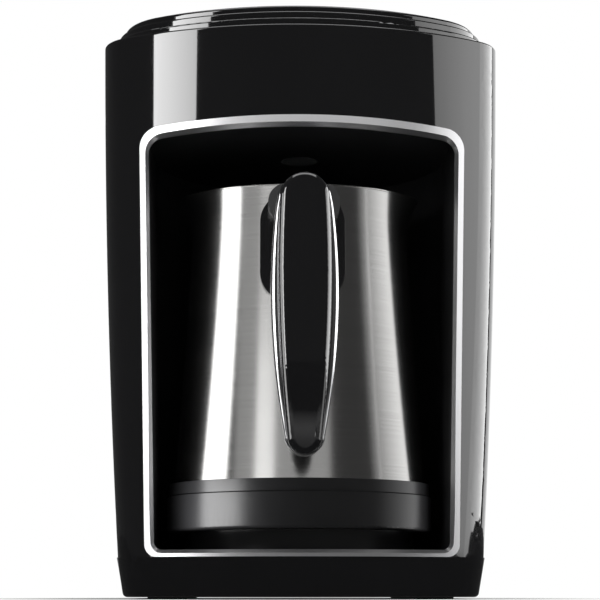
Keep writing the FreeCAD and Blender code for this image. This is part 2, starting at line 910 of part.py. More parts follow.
# Top: a stepped cap with the control panel, buttons and lights
button_places = [(side * d.button_spacing / 2, panel_y - d.board_edge) for side in SIDES]
light_places = [(side * d.button_spacing / 2, panel_y + d.light_offset) for side in SIDES]
control_posts = [
    (side * (d.control_board_width / 2 - d.board_edge),
     panel_y + way * (d.control_board_length / 2 - d.board_edge))
    for side in SIDES
    for way in SIDES
]
lights = [
    rod(f"light_pipe_{number}", d.light_radius, cap_top - control_board_top - d.board_thickness,
        x, y, control_board_top + d.board_thickness)
    for number, (x, y) in enumerate(light_places, start=1)
]
control_screws = [
    screw(f"control_screw_{number}", d.boss_radius + d.board_thickness, x, y,
          control_board_top - d.board_thickness, "z")
    for number, (x, y) in enumerate(control_posts, start=1)
]


def button_hole(name, x, y):
    return rod(name, d.button_radius + d.button_clearance, d.cap_plate * 3, x, y,
               cap_underside - d.cap_plate)


def make_top_cap():
    """Three steps, each a little inside the one below, over a hollow with a locating skirt."""
    half = d.top_width / 2
    step_top = d.shell_top + d.cap_step_height
    ridge_top = step_top + d.cap_ridge_height
    step = prism_up("cap_step", d.shell_top, step_top, cap_corners(d.cap_step_inset))
    ridge = prism_up("cap_ridge", step_top, ridge_top, cap_corners(d.cap_ridge_inset))
    crown = prism_up("cap_crown", ridge_top, cap_top, cap_corners(d.cap_crown_inset))
    for body, top, radius in ((step, step_top, d.cap_step_edge), (ridge, ridge_top, d.cap_step_edge),
                              (crown, cap_top, d.cap_crown_edge)):
        fillet(body, body.Tip, radius, lambda box: box.ZMin > top.value - TOUCHING)
    skirt_inset = d.shell_ledge + d.joint_gap
    skirt = prism_up("cap_skirt_block", d.shell_top - d.cap_skirt, d.shell_top,
                     plan_corners(half, skirt_inset))
    hollow = prism_up("cap_hollow", d.shell_top - d.cap_skirt, cap_underside,
                      cap_corners(skirt_inset + d.liner_wall))
    posts = [
        rod(f"cap_post_{number}", d.post_radius, cap_underside - control_board_top + OVERSHOOT, x, y,
            control_board_top)
        for number, (x, y) in enumerate(control_posts, start=1)
    ]
    shell = cut("cap_shell", fuse("cap_steps", step, ridge, crown, skirt), hollow)
    recess = panel_block("panel_recess", 0, d.panel_thickness)
    holes = [button_hole(f"cap_hole_{number}", x, y)
             for number, (x, y) in enumerate(button_places, start=1)]
    node(cut("top_cap", fuse("cap_with_posts", shell, *posts), recess, *holes, *lights,
             *control_screws), "top_cap")


def panel_block(name, inset, thickness):
    corners = rounded_box_corners(d.panel_width / 2 - inset, d.panel_depth - d.panel_length / 2
                                  + inset, d.panel_depth + d.panel_length / 2 - inset,
                                  d.panel_corner - inset)
    return prism_up(name, cap_top - thickness, cap_top, corners)


def make_control_panel():
    plate = panel_block("panel_plate", d.joint_gap, d.panel_thickness)
    holes = [button_hole(f"panel_hole_{number}", x, y)
             for number, (x, y) in enumerate(button_places, start=1)]
    node(cut("control_panel", plate, *holes, *lights), "control_panel")
    node(group("light_pipes", lights), "light_pipes")


def make_button(name, x, y):
    """A round cap on a lip that keeps it in the panel and a stem that works the switch."""
    top = cap_top + d.button_proud
    lip_top = cap_underside - d.joint_gap
    lip = d.button_radius + d.button_lip
    stem_end = control_board_top + d.switch_height - d.stem_engagement
    corners = [
        (d.stem_radius, stem_end),
        (d.stem_radius, lip_top - d.button_lip_thickness),
        (lip, lip_top - d.button_lip_thickness),
        (lip, lip_top),
        (d.button_radius, lip_top),
        (d.button_radius, top),
        (0, top),
        (0, stem_end),
    ]
    body = spin(name, corners, x, y)
    fillet(body, body.Tip, d.button_edge_radius, lambda box: box.ZMin > top.value - TOUCHING)
    node(body, name)


def make_control_board():
    bottom = control_board_top - d.board_thickness
    plate = block("control_plate", d.control_board_width, d.control_board_length,
                  d.board_thickness, panel_y - d.control_board_length / 2, bottom)
    node(cut("control_board", plate, *control_screws), "control_board")
    node(group("control_board_screws", control_screws), "control_board_screws")
    switches = []
    for number, (x, y) in enumerate(button_places, start=1):
        housing = block(f"switch_block_{number}", d.switch_width, d.switch_width,
                        d.switch_height, y - d.switch_width / 2, control_board_top, x)
        well = rod(f"switch_well_{number}", d.stem_radius + d.button_clearance,
                   d.switch_well * 2, x, y, control_board_top + d.switch_height - d.switch_well)
        switches.append(cut(f"switch_{number}", housing, well))
    node(group("tact_switches", switches), "tact_switches")
    lamps = [
        block(f"lamp_{number}", d.light_radius * 2, d.light_radius * 2, d.board_thickness,
              y - d.light_radius, control_board_top, x)
        for number, (x, y) in enumerate(light_places, start=1)
    ]
    node(group("indicator_leds", lamps), "indicator_leds")
    node(rod("buzzer", d.buzzer_radius, d.buzzer_height, 0, panel_y, control_board_top), "buzzer")


def make_sensor():
    node(sensor_window, "sensor_window")
    node(block("foam_sensor", d.sensor_length, d.sensor_length, d.sensor_height,
               pot_axis - d.sensor_length / 2, liner_top), "foam_sensor")


def make_power_supply():
    """The board on the chamber's back and the large parts on it."""
    board_y = front + power_board_depth
    face = board_y + d.board_thickness
    plate = block("power_plate", d.power_board_width, d.board_thickness, d.power_board_height,
                  board_y, d.power_board_bottom)
    node(cut("power_board", plate, *power_screws), "power_board")
    node(group("power_board_screws", power_screws), "power_board_screws")
    middle = d.power_board_bottom + d.power_board_height / 2
    quarter = d.power_board_width / 4
    node(block("power_relay", d.relay_width, d.relay_height, d.relay_length, face,
               middle + d.board_edge, x=-quarter / 2), "power_relay")
    node(block("transformer", d.transformer_width, d.transformer_height,
               d.transformer_length, face, middle - d.transformer_length, x=quarter / 2),
         "transformer")
    node(rod("filter_capacitor", d.capacitor_radius, d.capacitor_length, quarter / 2 + d.boss_radius,
             face, middle + d.board_edge * 3, "y"), "filter_capacitor")
    node(block("terminal_block", d.terminal_width, d.terminal_height, d.terminal_height,
               face, d.power_board_bottom + d.board_edge / 2), "terminal_block")


def make_cord_gland():
    """A flanged bush through the rear cover, held by a nut inside."""
    wall_outside = front + d.body_depth
    tube = d.gland_bore_radius + d.gland_wall
    ring = tube + d.gland_flange
    inside = d.shell_wall + d.gland_flange_thickness + d.gland_tail
    length = inside + d.gland_reach
    start = wall_outside - inside

    def along(name, radius, size, y):
        return rod(name, radius, size, d.gland_offset, y, d.gland_height, "y")

    solid = fuse("gland_solid", along("gland_tube", tube, length, start),
                 along("gland_flange", ring, d.gland_flange_thickness, wall_outside),
                 along("gland_nut", ring, d.gland_flange_thickness,
                       wall_outside - d.shell_wall - d.gland_flange_thickness))
    node(cut("cord_gland", solid, along("gland_bore", d.gland_bore_radius, length, start)),
         "cord_gland")


# Pot
def make_vessel():
    """The steel vessel, its outside without the lips for the handle bracket to fit."""
    foot = d.vessel_foot_radius
    neck = d.vessel_neck_radius
    rim = d.vessel_rim_radius
    top = d.vessel_rim_height
    wall = d.vessel_wall
    outside = [
        (foot, vessel_bottom),
        (foot, collar_top),
        (neck, d.vessel_neck_height, (d.vessel_flank_radius, -1)),
        (rim, top - 2 * d.rim_roll),
        (rim + d.rim_roll, top - d.rim_roll, d.rim_roll),
        (rim, top, d.rim_roll),
        (0, top),
        (0, vessel_bottom),
    ]
    inside = [
        (foot - wall, vessel_bottom + wall),
        (foot - wall, collar_top),
        (neck - wall, d.vessel_neck_height, (d.vessel_flank_radius, -1)),
        (rim - wall, top + wall),
        (0, top + wall),
        (0, vessel_bottom + wall),
    ]
    body = spin("vessel_outside", outside, y=pot_axis)
    space = spin("vessel_inside", inside, y=pot_axis)
    above = block("above_rim", d.cup_radius * 3, d.cup_radius * 3, d.lip_length,
                  pot_axis - d.cup_radius * 1.5, top)
    lips = [lip_cone(f"lip_{side}", side, 0) for side in SIDES]
    lip_spaces = [lip_cone(f"lip_space_{side}", side, d.lip_wall) for side in SIDES]
    solid = cut("vessel_solid", fuse("vessel_with_lips", body, *lips), above)
    node(cut("pot_vessel", solid, space, *lip_spaces), "pot_vessel")
    return body


def lip_cone(name, side, inward):
    """A leaning cone that swells the rim into a pouring lip."""
    cone = doc.addObject("Part::Cone", name)
    lean = math.radians(d.lip_lean.value)
    cone.Placement = Placement(Vector(), Rotation(Vector(0, 1, 0), side * d.lip_lean.value))
    cone.Radius1 = 0
    bind(cone, "Radius2", d.lip_radius)
    bind(cone, "Height", d.lip_length)
    spread = math.tan(lean + math.atan(d.lip_radius.value / d.lip_length.value))
    start = d.vessel_rim_radius + d.lip_reach - d.lip_drop * spread - inward
    return place(cone, side * start, pot_axis, d.vessel_rim_height - d.lip_drop)


def make_pot_base():
    """Cup, collar, seal, heater and plug socket under the vessel."""
    cup = d.cup_radius
    inner = cup - d.cup_wall
    cup_corners = [
        (cup, pot_seat),
        (cup, cup_top),
        (inner, cup_top),
        (inner, pot_seat + d.cup_wall),
        (0, pot_seat + d.cup_wall),
        (0, pot_seat),
    ]
    body = spin("cup_block", cup_corners, y=pot_axis)
    low = pot_seat.value + TOUCHING
    wide = d.vessel_foot_radius.value
    fillet(body, body.Tip, d.cup_edge_radius, lambda box: box.ZMax < low and box.XMax > wide)
    shelf = inner - d.shelf_width
    groove = d.seal_width
    groove_inner = shelf + d.seal_thickness
    spigot = cup_top - d.spigot_depth
    collar_corners = [
        (shelf, spigot),
        (inner - d.collar_gap, spigot),
        (inner - d.collar_gap, cup_top),
        (d.collar_radius, cup_top),
        (d.collar_radius, collar_top),
        (d.vessel_foot_radius, collar_top),
        (d.vessel_foot_radius, vessel_bottom),
        (groove_inner + groove, vessel_bottom),
        (groove_inner + groove, vessel_bottom - d.seal_thickness),
        (groove_inner, vessel_bottom - d.seal_thickness),
        (groove_inner, vessel_bottom),
        (shelf, vessel_bottom),
    ]
    seal_corners = [
        (groove_inner, vessel_bottom - d.seal_thickness),
        (groove_inner + groove, vessel_bottom - d.seal_thickness),
        (groove_inner + groove, vessel_bottom),
        (groove_inner, vessel_bottom),
    ]
    middle = groove_inner
    seat = pot_seat + d.screw_head_height
    screws = []
    bosses = []
    for number, angle in enumerate(POT_SCREW_ANGLES, start=1):
        x = middle * math.cos(math.radians(angle))
        y = pot_axis + middle * math.sin(math.radians(angle))
        length = spigot + d.seal_thickness - seat
        screws.append(screw(f"pot_screw_{number}", length, x, y, seat, "z"))
        bosses.append(rod(f"cup_boss_{number}", d.screw_head_radius, spigot - pot_seat - OVERSHOOT, x, y,
                          pot_seat + OVERSHOOT))
    socket_width = d.connector_width - d.cup_wall * 2
    socket_depth = d.pin_reach + d.cup_wall
    socket_block = block("socket_block", socket_width, socket_depth + d.cup_wall,
                         d.connector_height, pot_axis + cup - socket_depth - d.cup_wall,
                         connector_middle - d.connector_height / 2)
    round_limit = rod("socket_limit", cup, d.cup_height, 0, pot_axis, pot_seat)
    socket = common("socket_solid", socket_block, round_limit)
    holes = [
        rod(f"pin_hole_{number}", d.pin_radius + d.pin_clearance, socket_depth + d.dock_gap,
            number * d.pin_spacing, front + dock_face - d.pin_reach - d.dock_gap,
            connector_middle, "y")
        for number in (-1, 0, 1)
    ]
    node(cut("pot_socket", socket, *holes), "pot_socket")
    node(cut("pot_base_cup", fuse("cup_with_bosses", body, *bosses), socket_block, *screws),
         "pot_base_cup")
    node(cut("pot_collar", spin("collar_block", collar_corners, y=pot_axis), *screws),
         "pot_collar")
    node(spin("pot_seal", seal_corners, y=pot_axis), "pot_seal")
    node(group("pot_base_screws", screws), "pot_base_screws")


def make_heater():
    plate_bottom = vessel_bottom - d.heater_plate_thickness
    node(rod("heater_plate", d.heater_plate_radius, d.heater_plate_thickness, 0, pot_axis,
             plate_bottom), "heater_plate")
    ring = doc.addObject("Part::Torus", "heating_element")
    bind(ring, "Radius1", d.heater_ring_radius)
    bind(ring, "Radius2", d.heater_tube_radius)
    place(ring, 0, pot_axis, plate_bottom - d.heater_tube_radius)
    node(ring, "heating_element")
    node(rod("thermal_cutout", d.cutout_radius, d.cutout_height, 0, pot_axis,
             plate_bottom - d.cutout_height), "thermal_cutout")


def handle_corners(grow, shorten=0, side_radius=d.handle_side_radius):
    """The handle seen from the front: a long drop shape, wider above than at its tip."""
    top_radius = d.handle_top_radius + grow
    tip_radius = d.handle_tip_radius + grow
    top = d.handle_top - shorten
    tip = d.handle_tip + shorten
    bow = side_radius + grow
    return [
        (tip_radius, tip + tip_radius, tip_radius),
        (top_radius, top - top_radius, bow),
        (0, top, top_radius),
        (-top_radius, top - top_radius, top_radius),
        (-tip_radius, tip + tip_radius, bow),
        (0, tip, tip_radius),
    ]


def handle_arc(name, depth):
    """A wide cylinder whose front follows the handle's bow at a distance behind its face."""
    width = d.neck_half_width * 4
    return rod(name, d.handle_bow_radius - depth, width, -width / 2,
               front + handle_bow_depth, d.handle_bow_height, "x")


def handle_layer(name, outer_depth, inner_depth, corners):
    reach = d.handle_reach + d.neck_half_width
    outline = prism_back(f"{name}_outline_block", -reach, d.neck_half_width, corners)
    layer = cut(f"{name}_layer", handle_arc(f"{name}_outer", outer_depth),
                handle_arc(f"{name}_inner", inner_depth))
    return common(f"{name}_piece", outline, layer)


def bow_distance(edge):
    """Distance of an edge's middle from the axis that the handle is bowed about."""
    middle = edge.valueAt((edge.FirstParameter + edge.LastParameter) / 2)
    return math.hypot(middle.y - (front + handle_bow_depth).value,
                      middle.z - d.handle_bow_height.value)


def make_handle(vessel_outside):
    """Bracket on the vessel, chrome neck, and the grip's core, chrome loop and cover."""
    trim_back = d.cover_thickness + d.handle_trim_thickness
    core_back = trim_back + d.core_thickness
    level = d.neck_height - d.handle_bow_height
    bow = d.handle_bow_radius - trim_back
    seat = front + handle_bow_depth - root(bow * bow - level * level)
    length = front + bracket_front + d.bracket_stand / 2 - seat
    screws = [
        screw(f"handle_screw_{side}", length, side * d.handle_screw_spacing / 2, seat,
              d.neck_height, "y")
        for side in SIDES
    ]
    plate = prism_back("bracket_plate", bracket_front, bracket_front + d.bracket_depth,
                       rounded_box_corners(d.bracket_half_width, d.bracket_bottom, d.bracket_top,
                                           d.bracket_corner))
    node(cut("handle_bracket", plate, vessel_outside, *screws), "handle_bracket")
    tube = prism_back("neck_block", -d.handle_reach, bracket_front,
                      rounded_box_corners(d.neck_half_width, d.neck_height - d.neck_half_height,
                                          d.neck_height + d.neck_half_height,
                                          d.neck_corner))
    neck = common("neck_curved", tube, handle_arc("neck_end", core_back))
    node(cut("handle_neck", neck, *screws), "handle_neck")
    core = handle_layer("core", trim_back, core_back, handle_corners(d.handle_core_grow))
    node(cut("handle_core", core, *screws), "handle_core")
    loop_corners = handle_corners(d.handle_trim_grow, side_radius=d.handle_trim_side_radius)
    loop = handle_layer("trim", d.cover_thickness, trim_back, loop_corners)
    space = prism_back("trim_space", -d.handle_reach - d.neck_half_width, d.neck_half_width,
                       handle_corners(d.handle_trim_grow - d.handle_trim_wall,
                                      d.handle_trim_wall))
    node(cut("handle_trim", loop, space), "handle_trim")
    cover = handle_layer("cover", as_size(0), d.cover_thickness, handle_corners(as_size(0)))
    body, base = body_on("handle_cover", cover)
    face = d.handle_bow_radius.value
    names = [
        f"Edge{number}"
        for number, edge in enumerate(base.Shape.Edges, start=1)
        if abs(bow_distance(edge) - face) < TOUCHING
    ]
    rounded = body.newObject("PartDesign::Fillet", "cover_rounding")
    rounded.Base = (base, names)
    bind(rounded, "Radius", d.cover_edge_radius)
    node(body, "handle_cover")
    node(group("handle_screws", screws), "handle_screws")


make_outer_shell()
make_rear_cover()
make_frame_trim()
make_chamber_liner()
make_base()
make_top_cap()
make_control_panel()
for label, (button_x, button_y) in zip(("start_button", "slow_button"), button_places):
    make_button(label, button_x, button_y)
make_control_board()
make_sensor()
make_power_supply()
make_cord_gland()
node(group("rear_screws", rear_screws), "rear_screws")
vessel_body = make_vessel()
make_pot_base()
make_heater()
make_handle(vessel_body)
doc.recompute()

# Check and write
faults = [item.Name for item in doc.Objects if {"Invalid", "Error"} & set(item.State)]
assert not faults, f"failed features: {faults}"
os.makedirs("parts", exist_ok=True)
for item in nodes:
    shape = item.Shape
    assert not shape.isNull() and shape.isValid(), f"bad shape: {item.Label}"
    print(f"{item.Label}: {len(shape.Solids)} solids, {shape.Volume:.0f} mm3")
    shape.exportStep(f"parts/{item.Label}.step")
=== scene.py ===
"""Electric Turkish coffee maker: a gloss tower with a window, and a steel pot that slides out.

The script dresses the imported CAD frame, gives the pot and its grip finer pieces, adds the marks
of the control panel and the details at the back, and sets up a plain studio.
"""

from __future__ import annotations

import json
import logging
import math
from dataclasses import dataclass
from enum import Enum

import bmesh
import bpy
from mathutils import Matrix, Vector

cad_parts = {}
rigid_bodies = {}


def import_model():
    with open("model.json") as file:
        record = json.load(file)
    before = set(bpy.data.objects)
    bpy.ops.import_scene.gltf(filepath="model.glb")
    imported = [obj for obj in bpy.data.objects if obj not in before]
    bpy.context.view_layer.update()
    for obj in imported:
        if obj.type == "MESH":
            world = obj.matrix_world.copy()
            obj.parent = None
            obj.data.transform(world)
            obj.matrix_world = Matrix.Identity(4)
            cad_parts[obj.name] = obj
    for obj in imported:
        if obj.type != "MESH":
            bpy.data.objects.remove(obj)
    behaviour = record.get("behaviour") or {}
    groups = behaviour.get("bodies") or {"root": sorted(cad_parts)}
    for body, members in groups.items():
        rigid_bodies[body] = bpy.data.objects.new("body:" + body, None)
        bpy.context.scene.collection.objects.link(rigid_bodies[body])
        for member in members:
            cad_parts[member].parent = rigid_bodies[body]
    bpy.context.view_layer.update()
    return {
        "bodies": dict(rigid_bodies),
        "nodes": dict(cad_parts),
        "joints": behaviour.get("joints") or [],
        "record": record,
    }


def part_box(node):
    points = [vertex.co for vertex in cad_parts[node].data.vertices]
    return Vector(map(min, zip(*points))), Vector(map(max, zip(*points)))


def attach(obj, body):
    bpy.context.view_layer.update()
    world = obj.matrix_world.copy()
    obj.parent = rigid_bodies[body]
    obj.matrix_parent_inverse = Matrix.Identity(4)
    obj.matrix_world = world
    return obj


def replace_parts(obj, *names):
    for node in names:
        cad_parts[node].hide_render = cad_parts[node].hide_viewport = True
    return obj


LOG = logging.getLogger("coffee_maker")
MM = 0.001
POT_AXIS = -20.5 * MM
REAR_FACE = 102.5 * MM
MIDDLE_Y = -0.02
POT_BODY = "pot"
HOUSING_BODY = "housing"

Colour = tuple[float, float, float]
Stretch = tuple[float, float, float]
Point = tuple[float, float]
WHITE = (1.0, 1.0, 1.0, 1.0)


class Slot(Enum):
    """The material slots of the part."""

    GLOSS_BLACK = "gloss_black"
    SATIN_BLACK = "satin_black"
    SILVER_TRIM = "silver_trim"
    BRUSHED_STEEL = "brushed_steel"
    CHROME = "chrome"
    RUBBER = "rubber"
    CLEAR = "clear"
    CIRCUIT_BOARD = "circuit_board"
    COMPONENT = "component"
    SCREW_STEEL = "screw_steel"
    BRASS = "brass"
    HEATER_METAL = "heater_metal"
    BUTTON_GREY = "button_grey"


class LitGroup(Enum):
    """The groups of pieces that a lamp can light by itself."""

    ALL = "all"
    BODY = "body"
    STEEL = "steel"
    RING = "ring"
    HANDLE = "handle"
    FRAME = "frame"


# The body's lamps leave out these pieces: the pot, which has lamps of its own, and the plinth
# in its shadow
UNLIT_NAMES = ("pot_", "heater_plate", "heating_element", "thermal_cutout", "dock_plinth")
LIT_NAMES = {
    LitGroup.STEEL: ("pot_vessel",),
    LitGroup.RING: ("pot_base_cup", "pot_collar"),
    LitGroup.HANDLE: ("handle_",),
    LitGroup.FRAME: ("frame_trim",),
}


class Wire:
    """An output socket whose Python operators add Math nodes."""

    def __init__(self, shader: "Shader", socket: bpy.types.NodeSocket) -> None:
        """Keep the socket and the shader that it belongs to."""
        self.shader = shader
        self.socket = socket

    def math(self, operation: str, *values: "Wire | float") -> "Wire":
        """Add one Math node.

        Args:
            operation: the node's operation.
            values: its inputs, in order.

        Returns:
            The node's result.
        """
        settings = {"operation": operation}
        return self.shader.node("ShaderNodeMath", settings, dict(enumerate(values)))

    def __add__(self, other: "Wire | float") -> "Wire":
        """Return the sum."""
        return self.math("ADD", self, other)

    def __radd__(self, other: float) -> "Wire":
        """Return the sum."""
        return self.math("ADD", other, self)

    def __sub__(self, other: "Wire | float") -> "Wire":
        """Return the difference."""
        return self.math("SUBTRACT", self, other)

    def __rsub__(self, other: float) -> "Wire":
        """Return the difference from a number."""
        return self.math("SUBTRACT", other, self)

    def __mul__(self, other: "Wire | float") -> "Wire":
        """Return the product."""
        return self.math("MULTIPLY", self, other)

    def __rmul__(self, other: float) -> "Wire":
        """Return the product."""
        return self.math("MULTIPLY", other, self)

    def clamp(self) -> "Wire":
        """Return the value kept between 0 and 1."""
        return self.math("MINIMUM", self.math("MAXIMUM", self, 0.0), 1.0)


class Shader:
    """A node tree under construction, with one method that makes every node."""

    noise_roughness = 0.55

    def __init__(self, owner: bpy.types.Material | bpy.types.World | bpy.types.Light) -> None:
        """Empty the owner's node tree."""
        owner.use_nodes = True
        self.tree = owner.node_tree
        self.tree.nodes.clear()

    def node(
        self,
        kind: str,
        settings: dict[str, object] | None = None,
        inputs: dict[str | int, object] | None = None,
        output: str | int = 0,
    ) -> Wire:
        """Make one node.

        Args:
            kind: the node's type.
            settings: its properties, which are set first.
            inputs: a value or a Wire for each socket that is set.
            output: the socket that is returned.

        Returns:
            The chosen output.
        """
        made = self.tree.nodes.new(kind)
        for key, value in (settings or {}).items():
            setattr(made, key, value)
        for key, value in (inputs or {}).items():
            if isinstance(value, Wire):
                self.tree.links.new(value.socket, made.inputs[key])
            else:
                made.inputs[key].default_value = value
        outputs = made.outputs
        return Wire(self, outputs[output]) if len(outputs) else Wire(self, None)

    def position(self, scale: Stretch = (1.0, 1.0, 1.0)) -> Wire:
        """Return Object coordinates in metres, scaled along each axis."""
        place = self.node("ShaderNodeTexCoord", output="Object")
        return self.node("ShaderNodeMapping", None, {"Vector": place, "Scale": scale})

    def noise(self, vector: Wire, scale: float, detail: float = 2.0) -> Wire:
        """Return fractal noise from 0 to 1."""
        inputs = {"Vector": vector, "Scale": scale, "Detail": detail}
        inputs["Roughness"] = self.noise_roughness
        return self.node("ShaderNodeTexNoise", None, inputs)

    def tint(self, factor: Wire, low: Colour, high: Colour) -> Wire:
        """Return a colour between two colours."""
        settings = {"data_type": "RGBA"}
        inputs = {0: factor, 6: (*low, 1.0), 7: (*high, 1.0)}
        return self.node("ShaderNodeMix", settings, inputs, output=2)

    def bump(self, height: Wire, strength: float, distance: float) -> Wire:
        """Return a normal that a height has bent."""
        inputs = {"Height": height, "Strength": strength, "Distance": distance}
        return self.node("ShaderNodeBump", None, inputs)

    def surface(self, inputs: dict[str | int, object]) -> None:
        """End the tree in a Principled BSDF with these sockets."""
        shaded = self.node("ShaderNodeBsdfPrincipled", None, inputs)
        self.node("ShaderNodeOutputMaterial", None, {"Surface": shaded})


@dataclass(frozen=True)
class GlossPlastic:
    """Piano-black plastic: a deep colour under a clear skin, with faint swirls and waves."""

    colour: Colour = (0.0035, 0.0035, 0.004)
    haze_colour: Colour = (0.006, 0.006, 0.0065)
    roughness: float = 0.035
    swirl: float = 0.03
    swirl_scale: float = 34.0
    swirl_stretch: Stretch = (1.0, 1.0, 0.35)
    swirl_detail: float = 4.0
    wave_scale: float = 28.0
    wave_strength: float = 0.04
    wave_depth: float = 1.0 * MM
    index: float = 1.6
    coat: float = 1.0
    coat_roughness: float = 0.015

    def build(self, shader: Shader) -> None:
        """Fill a shader with this finish."""
        stretched = shader.position(self.swirl_stretch)
        smear = shader.noise(stretched, self.swirl_scale, self.swirl_detail)
        wave = shader.noise(shader.position(), self.wave_scale, 1.0)
        shader.surface(
            {
                "Base Color": shader.tint(smear, self.colour, self.haze_colour),
                "Roughness": smear * self.swirl + self.roughness,
                "IOR": self.index,
                "Coat Weight": self.coat,
                "Coat Roughness": self.coat_roughness,
                "Coat IOR": self.index,
                "Normal": shader.bump(wave, self.wave_strength, self.wave_depth),
            }
        )


@dataclass(frozen=True)
class SatinPlastic:
    """Moulded plastic with a fine spark-eroded grain."""

    colour: Colour = (0.012, 0.012, 0.013)
    worn_colour: Colour = (0.02, 0.02, 0.021)
    roughness: float = 0.4
    spread: float = 0.16
    grain_scale: float = 2600.0
    grain_strength: float = 0.5
    grain_depth: float = 0.04 * MM
    cloud_scale: float = 40.0
    cloud_detail: float = 3.0

    def build(self, shader: Shader) -> None:
        """Fill a shader with this finish."""
        place = shader.position()
        grain = shader.noise(place, self.grain_scale, 2.0)
        cloud = shader.noise(place, self.cloud_scale, self.cloud_detail)
        shader.surface(
            {
                "Base Color": shader.tint(cloud, self.colour, self.worn_colour),
                "Roughness": cloud * self.spread + self.roughness,
                "Normal": shader.bump(grain, self.grain_strength, self.grain_depth),
            }
        )


@dataclass(frozen=True)
class BrushedMetal:
    """Metal brushed in one direction: fine grooves that are long one way and close the other."""

    colour: Colour = (0.64, 0.635, 0.625)
    groove_colour: Colour = (0.5, 0.495, 0.485)
    roughness: float = 0.1
    spread: float = 0.12
    stretch: Stretch = (14.0, 14.0, 2400.0)
    groove_detail: float = 3.0
    depth: float = 0.012 * MM
    strength: float = 0.35
    cloud_scale: float = 60.0
    cloud_spread: float = 0.05

    def build(self, shader: Shader) -> None:
        """Fill a shader with this finish."""
        grooves = shader.noise(shader.position(self.stretch), 1.0, self.groove_detail)
        cloud = shader.noise(shader.position(), self.cloud_scale)
        haze = grooves * self.spread + cloud * self.cloud_spread
        shader.surface(
            {
                "Base Color": shader.tint(grooves, self.groove_colour, self.colour),
                "Metallic": 1.0,
                "Roughness": haze + self.roughness,
                "Normal": shader.bump(grooves, self.strength, self.depth),
            }
        )


@dataclass(frozen=True)
class PlainMetal:
    """Plated or cast metal with a slight cloudiness."""

    colour: Colour = (0.78, 0.78, 0.79)
    dull_colour: Colour = (0.7, 0.7, 0.71)
    roughness: float = 0.07
    spread: float = 0.06
    cloud_scale: float = 120.0
    cloud_detail: float = 3.0
    bump_strength: float = 0.1
    bump_depth: float = 0.05 * MM

    def build(self, shader: Shader) -> None:
        """Fill a shader with this finish."""
        cloud = shader.noise(shader.position(), self.cloud_scale, self.cloud_detail)
        shader.surface(
            {
                "Base Color": shader.tint(cloud, self.dull_colour, self.colour),
                "Metallic": 1.0,
                "Roughness": cloud * self.spread + self.roughness,
                "Normal": shader.bump(cloud, self.bump_strength, self.bump_depth),
            }
        )


@dataclass(frozen=True)
class ClearPlastic:
    """A moulded clear light pipe or lens."""

    colour: Colour = (0.9, 0.93, 0.95)
    roughness: float = 0.08
    spread: float = 0.05
    cloud_scale: float = 300.0
    index: float = 1.49
    clearness: float = 0.85

    def build(self, shader: Shader) -> None:
        """Fill a shader with this finish."""
        cloud = shader.noise(shader.position(), self.cloud_scale)
        shader.surface(
            {
                "Base Color": (*self.colour, 1.0),
                "Roughness": cloud * self.spread + self.roughness,
                "IOR": self.index,
                "Transmission Weight": self.clearness,
            }
        )


FINISHES = {
    Slot.GLOSS_BLACK: GlossPlastic(),
    Slot.SATIN_BLACK: SatinPlastic(roughness=0.3, spread=0.1),
    Slot.SILVER_TRIM: BrushedMetal(
        colour=(0.78, 0.78, 0.79),
        groove_colour=(0.72, 0.72, 0.73),
        roughness=0.3,
        spread=0.06,
        stretch=(1500.0, 1500.0, 1500.0),
        depth=0.004 * MM,
        strength=0.1,
    ),
    Slot.BRUSHED_STEEL: BrushedMetal(),
    Slot.CHROME: PlainMetal(roughness=0.12, spread=0.06),
    Slot.RUBBER: SatinPlastic(roughness=0.65, grain_scale=1500.0),
    Slot.CLEAR: ClearPlastic(),
    Slot.CIRCUIT_BOARD: SatinPlastic(
        colour=(0.01, 0.075, 0.035), worn_colour=(0.015, 0.1, 0.05), grain_scale=900.0
    ),
    Slot.COMPONENT: SatinPlastic(colour=(0.03, 0.035, 0.045), worn_colour=(0.05, 0.055, 0.065)),
    Slot.SCREW_STEEL: PlainMetal(
        colour=(0.5, 0.49, 0.47), dull_colour=(0.4, 0.39, 0.38), roughness=0.25
    ),
    Slot.BRASS: PlainMetal(colour=(0.8, 0.56, 0.24), dull_colour=(0.66, 0.45, 0.2), roughness=0.2),
    Slot.HEATER_METAL: PlainMetal(
        colour=(0.55, 0.55, 0.56), dull_colour=(0.42, 0.42, 0.43), roughness=0.4
    ),
    Slot.BUTTON_GREY: SatinPlastic(
        colour=(0.05, 0.05, 0.052), worn_colour=(0.06, 0.06, 0.062), roughness=0.35
    ),
}


class Finishes:
    """Makes each finish once and hands it out."""

    def __init__(self) -> None:
        """Start with nothing made."""
        self.made: dict[Slot, bpy.types.Material] = {}

    def get(self, slot: Slot) -> bpy.types.Material:
        """Return the material of a slot."""
        if slot not in self.made:
            material = bpy.data.materials.new(f"{slot.value}_finish")
            FINISHES[slot].build(Shader(material))
            self.made[slot] = material
        return self.made[slot]

    def dress_nodes(self, nodes: dict[str, bpy.types.Object]) -> None:
        """Give every CAD node the finish of its slot.

        Args:
            nodes: the CAD nodes by name.
        """
        for node in nodes.values():
            slot = Slot(node.data.materials[0].name.split(".")[0])
            node.data.materials[0] = self.get(slot)

    def slot_of(self, node: bpy.types.Object) -> Slot:
        """Return the slot of a dressed CAD node."""
        worn = node.data.materials[0]
        return next(slot for slot, material in self.made.items() if material == worn)


